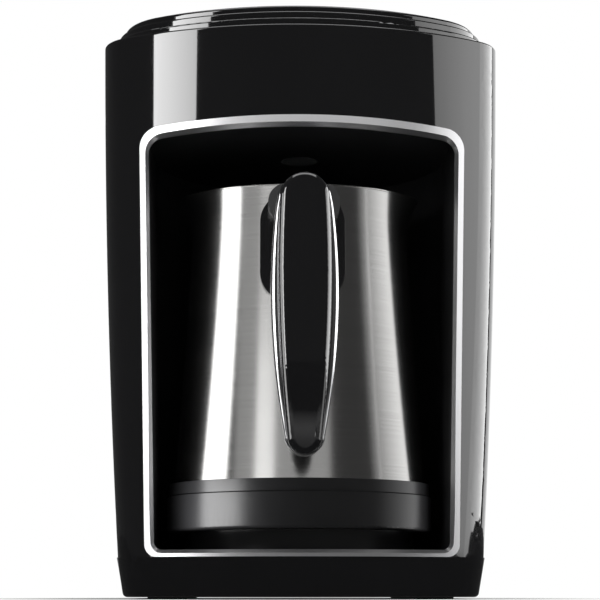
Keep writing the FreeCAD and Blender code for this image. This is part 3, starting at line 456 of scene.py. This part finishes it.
class Piece:
    """A new piece of the visual model, built in a bmesh."""

    merge_distance = 0.01 * MM
    sharp_angle = 35.0
    bevel_segments = 3

    def __init__(self, name: str) -> None:
        """Start with an empty mesh."""
        self.name = name
        self.mesh = bmesh.new()

    def ring(self, place: Matrix, segments: int) -> list[bmesh.types.BMEdge]:
        """Add one loop of edges and return it.

        Args:
            place: carries a unit circle to the loop.
            segments: the number of edges.
        """
        made = bmesh.ops.create_circle(
            self.mesh, cap_ends=False, segments=segments, radius=1.0, matrix=place
        )
        return list({edge for vert in made["verts"] for edge in vert.link_edges})

    def sweep(self, places: list[Matrix], segments: int, closed: bool = False) -> None:
        """Run a round section along some places.

        Args:
            places: carry a unit circle to each station in turn.
            segments: edges round the section.
            closed: True joins the last station to the first; otherwise both ends are capped.
        """
        rings = [self.ring(place, segments) for place in places]
        followers = rings[1:] + rings[:1] if closed else rings[1:]
        for ring, follower in zip(rings, followers):
            bmesh.ops.bridge_loops(self.mesh, edges=ring + follower)
        if not closed:
            for ring in (rings[0], rings[-1]):
                bmesh.ops.contextual_create(self.mesh, geom=ring)

    def block(self, size: tuple[float, float, float], place: Vector, edge: float) -> None:
        """Add a box with rounded edges.

        Args:
            size: its width, depth and height.
            place: its middle.
            edge: the radius of its edges.
        """
        shape = Matrix.Translation(place) @ Matrix.Diagonal((*size, 1.0))
        made = bmesh.ops.create_cube(self.mesh, size=1.0, matrix=shape)
        edges = list({link for vert in made["verts"] for link in vert.link_edges})
        bmesh.ops.bevel(
            self.mesh,
            geom=edges,
            offset=edge,
            segments=self.bevel_segments,
            affect="EDGES",
            profile=0.5,
            material=-1,
        )

    def finish(self, finishes: Finishes, slot: Slot, body: str) -> bpy.types.Object:
        """Turn the mesh into an object that rides on a body.

        Args:
            finishes: hands out the materials.
            slot: the material slot that its finish belongs to.
            body: the body that it moves with.

        Returns:
            The new object.
        """
        bmesh.ops.remove_doubles(self.mesh, verts=self.mesh.verts, dist=self.merge_distance)
        bmesh.ops.recalc_face_normals(self.mesh, faces=self.mesh.faces)
        for face in self.mesh.faces:
            face.smooth = True
        data = bpy.data.meshes.new(self.name)
        self.mesh.to_mesh(data)
        self.mesh.free()
        data.set_sharp_from_angle(angle=math.radians(self.sharp_angle))
        data.materials.append(finishes.get(slot))
        made = bpy.data.objects.new(self.name, data)
        bpy.context.scene.collection.objects.link(made)
        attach(made, body)
        return made


@dataclass(frozen=True)
class HandleShape:
    """The grip: a long drop outline on a face that is bowed about an axis behind it."""

    top: float = 163.2 * MM
    tip: float = 54.2 * MM
    top_radius: float = 9.6 * MM
    tip_radius: float = 6.6 * MM
    side_radius: float = 580.0 * MM
    bow_radius: float = 320.0 * MM
    bow_depth: float = 209.5 * MM
    bow_height: float = 112.0 * MM

    def face(self, height: float, depth: float) -> float:
        """Return the y of a height, a depth behind the bowed face."""
        radius = self.bow_radius - depth
        rise = height - self.bow_height
        return self.bow_depth - math.sqrt(radius * radius - rise * rise)

    def outline(self, grow: float, side_radius: float, count: int) -> list[Point]:
        """Return points round the drop, from the top down its right side and up its left.

        Args:
            grow: how far the outline lies outside the cover's.
            side_radius: the radius of its long sides.
            count: points along each quarter turn; each side gets three times as many.

        Returns:
            Places across and heights.
        """
        top_radius, tip_radius = self.top_radius + grow, self.tip_radius + grow
        high, low = self.top - top_radius, self.tip + tip_radius
        half = []
        for step in range(count):
            angle = math.pi / 2 * step / count
            half.append((top_radius * math.sin(angle), high + top_radius * math.cos(angle)))
        chord = math.hypot(high - low, top_radius - tip_radius)
        for step in range(count * 3):
            share = step / (count * 3)
            bulge = chord * chord * share * (1.0 - share) / (2.0 * side_radius)
            width = top_radius + (tip_radius - top_radius) * share + bulge
            half.append((width, high + (low - high) * share))
        for step in range(count + 1):
            angle = math.pi / 2 * step / count
            half.append((tip_radius * math.cos(angle), low - tip_radius * math.sin(angle)))
        return half + [(-across, height) for across, height in half[-2:0:-1]]


@dataclass(frozen=True)
class TrimBead:
    """The plated bead that runs along both sides of the grip and thins out at its top."""

    shape: HandleShape = HandleShape()
    grow: float = 1.25 * MM
    side_radius: float = 290.0 * MM
    tuck: float = 1.0 * MM
    depth: float = 5.6 * MM
    half_depth: float = 2.3 * MM
    fade_top: float = 161.5 * MM
    fade_length: float = 12.0 * MM
    least_reach: float = 0.2 * MM
    faded_share: float = 0.15
    corner_steps: int = 12
    section_edges: int = 20

    def places(self) -> list[Matrix]:
        """Return what carries a unit circle to each station of the bead."""
        outer = self.shape.outline(self.grow, self.side_radius, self.corner_steps)
        inner = self.shape.outline(0.0, self.shape.side_radius, self.corner_steps)
        middle_height = (self.shape.top + self.shape.tip) / 2
        places = []
        for index, (out_point, in_point) in enumerate(zip(outer, inner)):
            ahead, behind = outer[(index + 1) % len(outer)], outer[index - 1]
            along = Vector((ahead[0] - behind[0], 0.0, ahead[1] - behind[1])).normalized()
            across = along.cross(Vector((0.0, 1.0, 0.0)))
            if across.dot(Vector((out_point[0], 0.0, out_point[1] - middle_height))) < 0.0:
                across.negate()
            show = min(max((self.fade_top - out_point[1]) / self.fade_length, 0.0), 1.0)
            gap = Vector((out_point[0] - in_point[0], 0.0, out_point[1] - in_point[1]))
            reach = max(gap.dot(across), self.least_reach)
            reach *= self.faded_share + (1.0 - self.faded_share) * show
            half_width = (reach + self.tuck) / 2
            base = Vector((in_point[0], 0.0, in_point[1])) + across * (reach - half_width)
            base.y = self.shape.face(base.z, self.depth)
            frame = Matrix((across * half_width, (0.0, self.half_depth, 0.0), along)).transposed()
            places.append(Matrix.Translation(base) @ frame.to_4x4())
        return places

    def build(self, finishes: Finishes) -> bpy.types.Object:
        """Build the bead in place of the CAD one."""
        piece = Piece("handle_trim_bead")
        piece.sweep(self.places(), self.section_edges, closed=True)
        made = piece.finish(finishes, Slot.CHROME, POT_BODY)
        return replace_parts(made, "handle_trim")


@dataclass(frozen=True)
class Vessel:
    """The steel pot: a flank that narrows to the top, a rolled rim and two pouring lips."""

    axis: float = POT_AXIS
    bottom: float = 43.4 * MM
    rim: float = 167.2 * MM
    foot_radius: float = 53.0 * MM
    rim_radius: float = 45.4 * MM
    flank_power: float = 1.3
    wall: float = 1.0 * MM
    roll: float = 0.8 * MM
    roll_start: float = -30.0
    roll_turn: float = 240.0
    roll_steps: int = 12
    lip_start: float = 150.0 * MM
    lip_reach: float = 5.6 * MM
    lip_spread: float = 0.34
    lip_rise: float = 2.2 * MM
    rows: int = 48
    floor_rows: int = 2
    steps: int = 160

    def radius(self, height: float) -> float:
        """Return the outer radius at a height."""
        share = (self.rim - height) / (self.rim - self.bottom)
        return self.rim_radius + (self.foot_radius - self.rim_radius) * share**self.flank_power

    def profile(self) -> list[Point]:
        """Return radii and heights from the middle of the floor, up outside and down inside."""
        tall = self.rim - self.bottom
        heights = [self.bottom + tall * step / self.rows for step in range(self.rows + 1)]
        outer = [(self.radius(height), height) for height in heights]
        centre = self.radius(self.rim) - self.wall / 2
        bead = []
        for step in range(1, self.roll_steps):
            angle = math.radians(self.roll_start + self.roll_turn * step / self.roll_steps)
            across, up = self.roll * math.cos(angle), self.roll * math.sin(angle)
            bead.append((centre + across, self.rim + up))
        wall = reversed(outer[self.floor_rows :])
        inner = [(radius - self.wall, height) for radius, height in wall]
        floor = self.bottom + self.wall
        corner = (inner[-1][0] - self.wall, floor)
        return [(0.0, self.bottom), *outer, *bead, *inner, corner, (0.0, floor)]

    def draw_lips(self, mesh: bmesh.types.BMesh) -> None:
        """Draw two lips out of the rim, one on each side."""
        for vert in mesh.verts:
            share = (vert.co.z - self.lip_start) / (self.rim - self.lip_start)
            out = Vector((vert.co.x, vert.co.y - self.axis, 0.0))
            if share <= 0.0 or out.length < self.rim_radius / 2:
                continue
            turn = math.atan2(out.y, abs(out.x))
            weight = math.exp(-((turn / self.lip_spread) ** 2)) * share * share
            vert.co += out.normalized() * self.lip_reach * weight
            vert.co.z += self.lip_rise * math.cos(turn) ** 2 * share * share

    def build(self, finishes: Finishes) -> bpy.types.Object:
        """Spin the profile and draw the lips, in place of the CAD vessel."""
        piece = Piece("pot_vessel_smooth")
        new_vert, new_edge = piece.mesh.verts.new, piece.mesh.edges.new
        verts = [new_vert((radius, self.axis, height)) for radius, height in self.profile()]
        edges = [new_edge(pair) for pair in zip(verts, verts[1:])]
        bmesh.ops.spin(
            piece.mesh,
            geom=verts + edges,
            cent=(0.0, self.axis, 0.0),
            axis=(0.0, 0.0, 1.0),
            angle=math.tau,
            steps=self.steps,
            use_merge=True,
        )
        self.draw_lips(piece.mesh)
        made = piece.finish(finishes, Slot.BRUSHED_STEEL, POT_BODY)
        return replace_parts(made, "pot_vessel")


@dataclass(frozen=True)
class SeamRing:
    """The dark joint line round the pot's base, between the collar and the cup."""

    axis: float = POT_AXIS
    height: float = 42.1 * MM
    radius: float = 54.95 * MM
    thickness: float = 0.35 * MM
    stations: int = 128
    section_edges: int = 10

    def build(self, finishes: Finishes) -> bpy.types.Object:
        """Sweep a thin ring of rubber round the joint."""
        place = Matrix.Translation((0.0, self.axis, self.height))
        spot = Matrix.Translation((self.radius, 0.0, 0.0))
        section = Matrix.Rotation(math.pi / 2, 4, "X") @ Matrix.Scale(self.thickness, 4)
        places = []
        for step in range(self.stations):
            turn = Matrix.Rotation(math.tau * step / self.stations, 4, "Z")
            places.append(place @ turn @ spot @ section)
        piece = Piece("pot_seam")
        piece.sweep(places, self.section_edges, closed=True)
        return piece.finish(finishes, Slot.RUBBER, POT_BODY)


@dataclass(frozen=True)
class PanelPrint:
    """Plain printed marks on the control panel: a ring round each button and a cup before it."""

    ring_gap: float = 1.3 * MM
    line: float = 0.28 * MM
    height: float = 0.06 * MM
    cup_drop: float = 19.6 * MM
    cup_width: float = 5.6 * MM
    cup_depth: float = 4.0 * MM
    cup_steps: int = 16
    grip_radius: float = 1.3 * MM
    grip_span: Point = (-75.0, 75.0)
    grip_steps: int = 10
    ring_span: Point = (0.0, 355.0)
    ring_steps: int = 72
    section_edges: int = 8

    def stroke(self, piece: Piece, points: list[Point], closed: bool = False) -> None:
        """Print one line through some points of the panel.

        Args:
            piece: takes the line.
            points: where it runs, seen from above.
            closed: True joins its ends.
        """
        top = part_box("control_panel")[1][2]
        last = len(points) - 1
        flat = Matrix.Rotation(math.pi / 2, 4, "Y")
        section = flat @ Matrix.Diagonal((self.height, self.line, 1.0, 1.0))
        places = []
        for index, (across, along) in enumerate(points):
            before = points[index - 1] if index or closed else points[0]
            after = points[(index + 1) % len(points)] if index < last or closed else points[last]
            turn = math.atan2(after[1] - before[1], after[0] - before[0])
            place = Matrix.Translation((across, along, top))
            places.append(place @ Matrix.Rotation(turn, 4, "Z") @ section)
        piece.sweep(places, self.section_edges, closed=closed)

    def arc(self, centre: Point, radius: float, span: Point, count: int) -> list[Point]:
        """Return points on an arc.

        Args:
            centre: its centre, seen from above.
            radius: its radius.
            span: its first and last angle, in degrees.
            count: the number of its steps.

        Returns:
            One point more than its steps.
        """
        first, last = span
        points = []
        for step in range(count + 1):
            turn = math.radians(first + (last - first) * step / count)
            across, along = radius * math.cos(turn), radius * math.sin(turn)
            points.append((centre[0] + across, centre[1] + along))
        return points

    def cup(self, piece: Piece, across: float, low: float) -> None:
        """Print a small cup with its grip.

        Args:
            piece: takes the lines.
            across: the cup's middle.
            low: its lowest edge.
        """
        half = self.cup_width / 2
        top = low + self.cup_depth
        left, right = (across - half, top), (across + half, top)
        bowl = self.arc((across, low + half), half, (180.0, 360.0), self.cup_steps)
        grip_place = (across + half, low + half)
        self.stroke(piece, [left, *bowl, right])
        self.stroke(piece, [left, right])
        grip = self.arc(grip_place, self.grip_radius, self.grip_span, self.grip_steps)
        self.stroke(piece, grip)

    def build(self, finishes: Finishes) -> bpy.types.Object:
        """Print both buttons' marks."""
        piece = Piece("panel_print")
        for button in ("start_button", "slow_button"):
            low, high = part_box(button)
            across, along = (low[0] + high[0]) / 2, (low[1] + high[1]) / 2
            radius = (high[0] - low[0]) / 2 + self.ring_gap
            ring = self.arc((across, along), radius, self.ring_span, self.ring_steps)
            self.stroke(piece, ring, closed=True)
            self.cup(piece, across, along - self.cup_drop)
        return piece.finish(finishes, Slot.SILVER_TRIM, HOUSING_BODY)


@dataclass(frozen=True)
class RearPlate:
    """A bare rating plate on the rear cover."""

    size: tuple[float, float, float] = (44.0 * MM, 0.5 * MM, 26.0 * MM)
    place: tuple[float, float, float] = (-26.0 * MM, REAR_FACE, 40.0 * MM)
    edge: float = 0.2 * MM

    def build(self, finishes: Finishes) -> bpy.types.Object:
        """Make the plate."""
        piece = Piece("rear_plate")
        piece.block(self.size, Vector(self.place), self.edge)
        return piece.finish(finishes, Slot.BUTTON_GREY, HOUSING_BODY)


@dataclass(frozen=True)
class RearLouvres:
    """A row of raised louvres on the rear cover."""

    size: tuple[float, float, float] = (66.0 * MM, 1.6 * MM, 2.2 * MM)
    lowest: float = 150.0 * MM
    spacing: float = 6.0 * MM
    count: int = 8
    edge: float = 0.6 * MM

    def build(self, finishes: Finishes) -> bpy.types.Object:
        """Make the louvres, one above the other."""
        piece = Piece("rear_louvres")
        for step in range(self.count):
            height = self.lowest + self.spacing * step
            piece.block(self.size, Vector((0.0, REAR_FACE, height)), self.edge)
        return piece.finish(finishes, Slot.SATIN_BLACK, HOUSING_BODY)


@dataclass(frozen=True)
class SoftCopy:
    """A copy of one CAD node whose edges a Bevel modifier rounds, in the node's place."""

    node: str
    width: float
    segments: int = 4
    angle: float = 30.0
    merge_distance: float = 0.002 * MM
    flat_angle: float = 0.6

    def build(self, finishes: Finishes, source: bpy.types.Object) -> bpy.types.Object:
        """Merge a copy of the node's mesh and round its edges.

        Args:
            finishes: hands out the materials.
            source: the CAD node.

        Returns:
            The rounded copy.
        """
        piece = Piece(f"{self.node}_rounded")
        mesh = piece.mesh
        mesh.from_mesh(source.data)
        bmesh.ops.remove_doubles(mesh, verts=mesh.verts, dist=self.merge_distance)
        flat = math.radians(self.flat_angle)
        bmesh.ops.dissolve_limit(mesh, angle_limit=flat, verts=mesh.verts, edges=mesh.edges)
        made = piece.finish(finishes, finishes.slot_of(source), POT_BODY)
        bevel = made.modifiers.new("edges", "BEVEL")
        bevel.width = self.width
        bevel.segments = self.segments
        bevel.limit_method = "ANGLE"
        bevel.angle_limit = math.radians(self.angle)
        bevel.harden_normals = True
        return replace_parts(made, self.node)


def around(bearing: float, height: float, distance: float) -> Vector:
    """Return a place round the object.

    Args:
        bearing: degrees to the right of straight ahead of the front.
        height: metres above the floor.
        distance: metres from the middle.

    Returns:
        The place.
    """
    angle = math.radians(bearing)
    return Vector((math.sin(angle) * distance, -math.cos(angle) * distance + MIDDLE_Y, height))


@dataclass
class SoftBox:
    """One rectangular lamp whose radiance runs evenly from one upright edge to the other."""

    name: str
    place: Vector
    aim: Vector
    width: float
    tall: float
    radiance: tuple[float, float]
    lights: LitGroup = LitGroup.ALL

    def build(self, groups: dict[LitGroup, bpy.types.Collection]) -> None:
        """Hang the lamp, turn it to what it looks at and name what it lights.

        Args:
            groups: the collection of each group of pieces.
        """
        lamp = bpy.data.lights.new(self.name, "AREA")
        lamp.shape = "RECTANGLE"
        lamp.size = self.width
        lamp.size_y = self.tall
        lamp.energy = math.pi * self.width * self.tall
        self.fade(lamp)
        holder = bpy.data.objects.new(self.name, lamp)
        holder.location = self.place
        holder.rotation_euler = (self.aim - self.place).to_track_quat("-Z", "Y").to_euler()
        holder.visible_camera = False
        bpy.context.scene.collection.objects.link(holder)
        if self.lights is not LitGroup.ALL:
            holder.light_linking.receiver_collection = groups[self.lights]

    def fade(self, lamp: bpy.types.Light) -> None:
        """Give the lamp its run of radiance."""
        first, last = self.radiance
        shader = Shader(lamp)
        spot = shader.node("ShaderNodeNewGeometry", output="Parametric")
        across = shader.node("ShaderNodeSeparateXYZ", None, {0: spot})
        strength = across * (last - first) + first
        glow = shader.node("ShaderNodeEmission", None, {"Strength": strength})
        shader.node("ShaderNodeOutputLight", None, {"Surface": glow})


@dataclass
class Studio:
    """The camera, the lamps, the world and the floor."""

    eye: tuple[float, float, float] = (-19.0 * MM, -762.2 * MM, 2.9 * MM)
    turn: float = 1.6
    pitch: float = 7.74
    lens: float = 105.0
    sensor: float = 36.0
    shift: Point = (-0.0055, 0.09)
    clip: Point = (0.01, 100.0)
    floor_size: float = 14.0
    floor_grey: float = 0.8
    floor_spread: float = 0.02
    floor_grain: float = 30.0
    floor_roughness: float = 0.6
    shadow_reach: float = 0.1
    open_floor: float = 0.06
    sheen_start: float = 0.26
    sheen_end: float = 0.56
    sheen_fade: float = 0.14
    sheen_level: float = 0.3
    dark_level: float = 0.03
    glossy_world: float = 0.05
    soft_world: float = 0.4
    chamber_side: float = 57.6 * MM

    def build_camera(self) -> None:
        """Stand the camera where the photograph was taken from."""
        data = bpy.data.cameras.new("camera")
        data.lens = self.lens
        data.sensor_width = self.sensor
        data.shift_x, data.shift_y = self.shift
        data.clip_start, data.clip_end = self.clip
        camera = bpy.data.objects.new("camera", data)
        camera.location = self.eye
        tilt = math.radians(90.0 + self.pitch)
        camera.rotation_euler = (tilt, 0.0, -math.radians(self.turn))
        bpy.context.scene.collection.objects.link(camera)
        bpy.context.scene.camera = camera

    def build_lamps(self, groups: dict[LitGroup, bpy.types.Collection]) -> None:
        """Hang the lamps.

        A strip and two panels light the body. The frame, the steel, the pot's base and the grip
        have their own, of which those in the chamber stand just inside its walls. A box above
        lights everything.

        Args:
            groups: the collection of each group of pieces.
        """
        middle = Vector((0.0, MIDDLE_Y, 0.12))
        body, steel = LitGroup.BODY, LitGroup.STEEL
        ring, handle, frame = LitGroup.RING, LitGroup.HANDLE, LitGroup.FRAME
        side = Vector((1.0, 0.0, 0.0))
        left = Vector((-self.chamber_side, -0.0618, 0.102))
        right = Vector((self.chamber_side, -0.0595, 0.102))
        low_left = Vector((-self.chamber_side, -0.0765, 0.035))
        grip = Vector((0.0, -0.1, 0.1))
        beside_left = Vector((-0.24, -0.16, 0.131))
        beside_right = Vector((0.24, -0.13, 0.131))
        # Name, place, aim, width, height, radiance at its two upright edges, and what it lights
        lamps = [
            SoftBox("strip_left", around(-46.2, 0.62, 1.6), middle, 0.47, 1.3, (7.4, 4.6), body),
            SoftBox("panel_right", around(86.0, 0.64, 1.6), middle, 2.2, 1.24, (1.2, 3.7), body),
            SoftBox("panel_behind", around(150.0, 0.62, 1.8), middle, 1.7, 1.2, (0.9, 0.8), body),
            SoftBox("frame_front", around(5.0, 1.0, 1.7), middle, 2.2, 0.9, (0.9, 0.9), frame),
            SoftBox("steel_left", left, left + side, 0.0215, 0.166, (2.6, 2.6), steel),
            SoftBox("ring_left", low_left, low_left + side, 0.037, 0.032, (9.0, 9.0), ring),
            SoftBox("pot_right", right, right - side, 0.036, 0.166, (0.0, 1.35), steel),
            SoftBox("ring_right", right, right - side, 0.033, 0.166, (0.0, 1.9), ring),
            SoftBox("steel_front", around(-18.0, 0.5, 1.6), middle, 3.2, 1.2, (0.36, 0.42), steel),
            SoftBox("steel_low", around(-33.0, 0.2, 1.6), middle, 0.5, 0.7, (1.2, 1.0), steel),
            SoftBox("grip_left", beside_left, grip, 0.13, 0.26, (2.6, 2.6), handle),
            SoftBox("grip_right", beside_right, grip, 0.13, 0.26, (0.9, 0.9), handle),
            SoftBox("box_above", Vector((0.0, -0.04, 1.9)), middle, 1.4, 1.2, (1.3, 1.3)),
        ]
        for lamp in lamps:
            lamp.build(groups)

    def build_world(self) -> None:
        """Show white behind the object, and light it softly from all sides."""
        world = bpy.data.worlds.new("studio_world")
        bpy.context.scene.world = world
        shader = Shader(world)
        camera_ray = shader.node("ShaderNodeLightPath", output="Is Camera Ray")
        clear_ray = shader.node("ShaderNodeLightPath", output="Is Transmission Ray")
        glossy_ray = shader.node("ShaderNodeLightPath", output="Is Glossy Ray")
        seen = (camera_ray + clear_ray).clamp()
        soft = glossy_ray * (self.glossy_world - self.soft_world) + self.soft_world
        strength = seen * (1.0 - soft) + soft
        inputs = {"Color": WHITE, "Strength": strength}
        sky = shader.node("ShaderNodeBackground", None, inputs)
        shader.node("ShaderNodeOutputWorld", None, {"Surface": sky})

    def floor_paint(self, shader: Shader, place: Wire, reach: Wire) -> Wire:
        """Return what the camera sees: grey paint in the shadow, and white away from it.

        Args:
            shader: the floor's shader.
            place: the place on the floor.
            reach: its distance from the middle.

        Returns:
            The mixed surface.
        """
        camera_ray = shader.node("ShaderNodeLightPath", output="Is Camera Ray")
        away = ((reach - self.shadow_reach) * (1.0 / self.open_floor)).clamp()
        grain = shader.noise(place, self.floor_grain)
        grey, pale = (self.floor_grey,) * 3, (self.floor_grey + self.floor_spread,) * 3
        inputs = {"Base Color": shader.tint(grain, grey, pale), "Roughness": self.floor_roughness}
        paint = shader.node("ShaderNodeBsdfPrincipled", None, inputs)
        glow = shader.node("ShaderNodeEmission", None, {"Color": WHITE})
        return shader.node("ShaderNodeMixShader", None, {0: away * camera_ray, 1: paint, 2: glow})

    def floor_sheen(self, shader: Shader, reach: Wire) -> Wire:
        """Return what reflections see: the floor as a faint dark glow, with a paler glowing ring
        some way off, a painted sheen.

        Args:
            shader: the floor's shader.
            reach: the distance from the middle.

        Returns:
            The mixed surface.
        """
        near = ((reach - self.sheen_start) * (1.0 / self.sheen_fade)).clamp()
        far = ((self.sheen_end - reach) * (1.0 / self.sheen_fade)).clamp()
        dark, pale = (
            shader.node("ShaderNodeEmission", None, {"Color": WHITE, "Strength": level})
            for level in (self.dark_level, self.sheen_level)
        )
        return shader.node("ShaderNodeMixShader", None, {0: near * far, 1: dark, 2: pale})

    def build_floor(self) -> None:
        """Lay a pale floor that turns white away from the object's shadow."""
        bpy.ops.mesh.primitive_plane_add(size=self.floor_size)
        floor = bpy.context.object
        floor.name = "studio_floor"
        material = bpy.data.materials.new("floor_finish")
        shader = Shader(material)
        place = shader.position()
        length = {"operation": "LENGTH"}
        reach = shader.node("ShaderNodeVectorMath", length, {0: place}, output="Value")
        glossy_ray = shader.node("ShaderNodeLightPath", output="Is Glossy Ray")
        paint = self.floor_paint(shader, place, reach)
        sheen = self.floor_sheen(shader, reach)
        seen = shader.node("ShaderNodeMixShader", None, {0: glossy_ray, 1: paint, 2: sheen})
        shader.node("ShaderNodeOutputMaterial", None, {"Surface": seen})
        floor.data.materials.append(material)

    def group_pieces(self) -> dict[LitGroup, bpy.types.Collection]:
        """Return a collection of each group of pieces that some lamps light alone."""
        groups = {
            group: bpy.data.collections.new(f"lit_{group.value}")
            for group in LitGroup
            if group is not LitGroup.ALL
        }
        for piece in bpy.context.scene.objects:
            if piece.type != "MESH":
                continue
            if not piece.name.startswith(UNLIT_NAMES):
                groups[LitGroup.BODY].objects.link(piece)
            for group, names in LIT_NAMES.items():
                if piece.name.startswith(names):
                    groups[group].objects.link(piece)
        return groups

    def build(self) -> None:
        """Set the whole studio up."""
        bpy.context.scene.view_settings.view_transform = "Standard"
        self.build_world()
        self.build_floor()
        self.build_lamps(self.group_pieces())
        self.build_camera()


NEW_PIECES = (TrimBead(), Vessel(), SeamRing(), PanelPrint(), RearPlate(), RearLouvres())
SOFT_COPIES = (
    SoftCopy("handle_neck", 2.0 * MM),
    SoftCopy("handle_bracket", 1.2 * MM),
    SoftCopy("pot_collar", 0.5 * MM, 3),
    SoftCopy("pot_base_cup", 0.5 * MM, 3),
)


def main() -> None:
    """Build the dressed coffee maker and its studio."""
    logging.basicConfig(level=logging.INFO, format="%(name)s: %(message)s")
    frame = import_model()
    finishes = Finishes()
    finishes.dress_nodes(frame["nodes"])
    LOG.info("dressed %d nodes", len(frame["nodes"]))
    for maker in NEW_PIECES:
        LOG.info("built %s", maker.build(finishes).name)
    for maker in SOFT_COPIES:
        LOG.info("rounded %s", maker.build(finishes, frame["nodes"][maker.node]).name)
    Studio().build()
    LOG.info("set up the studio")


if __name__ == "__main__":
    main()
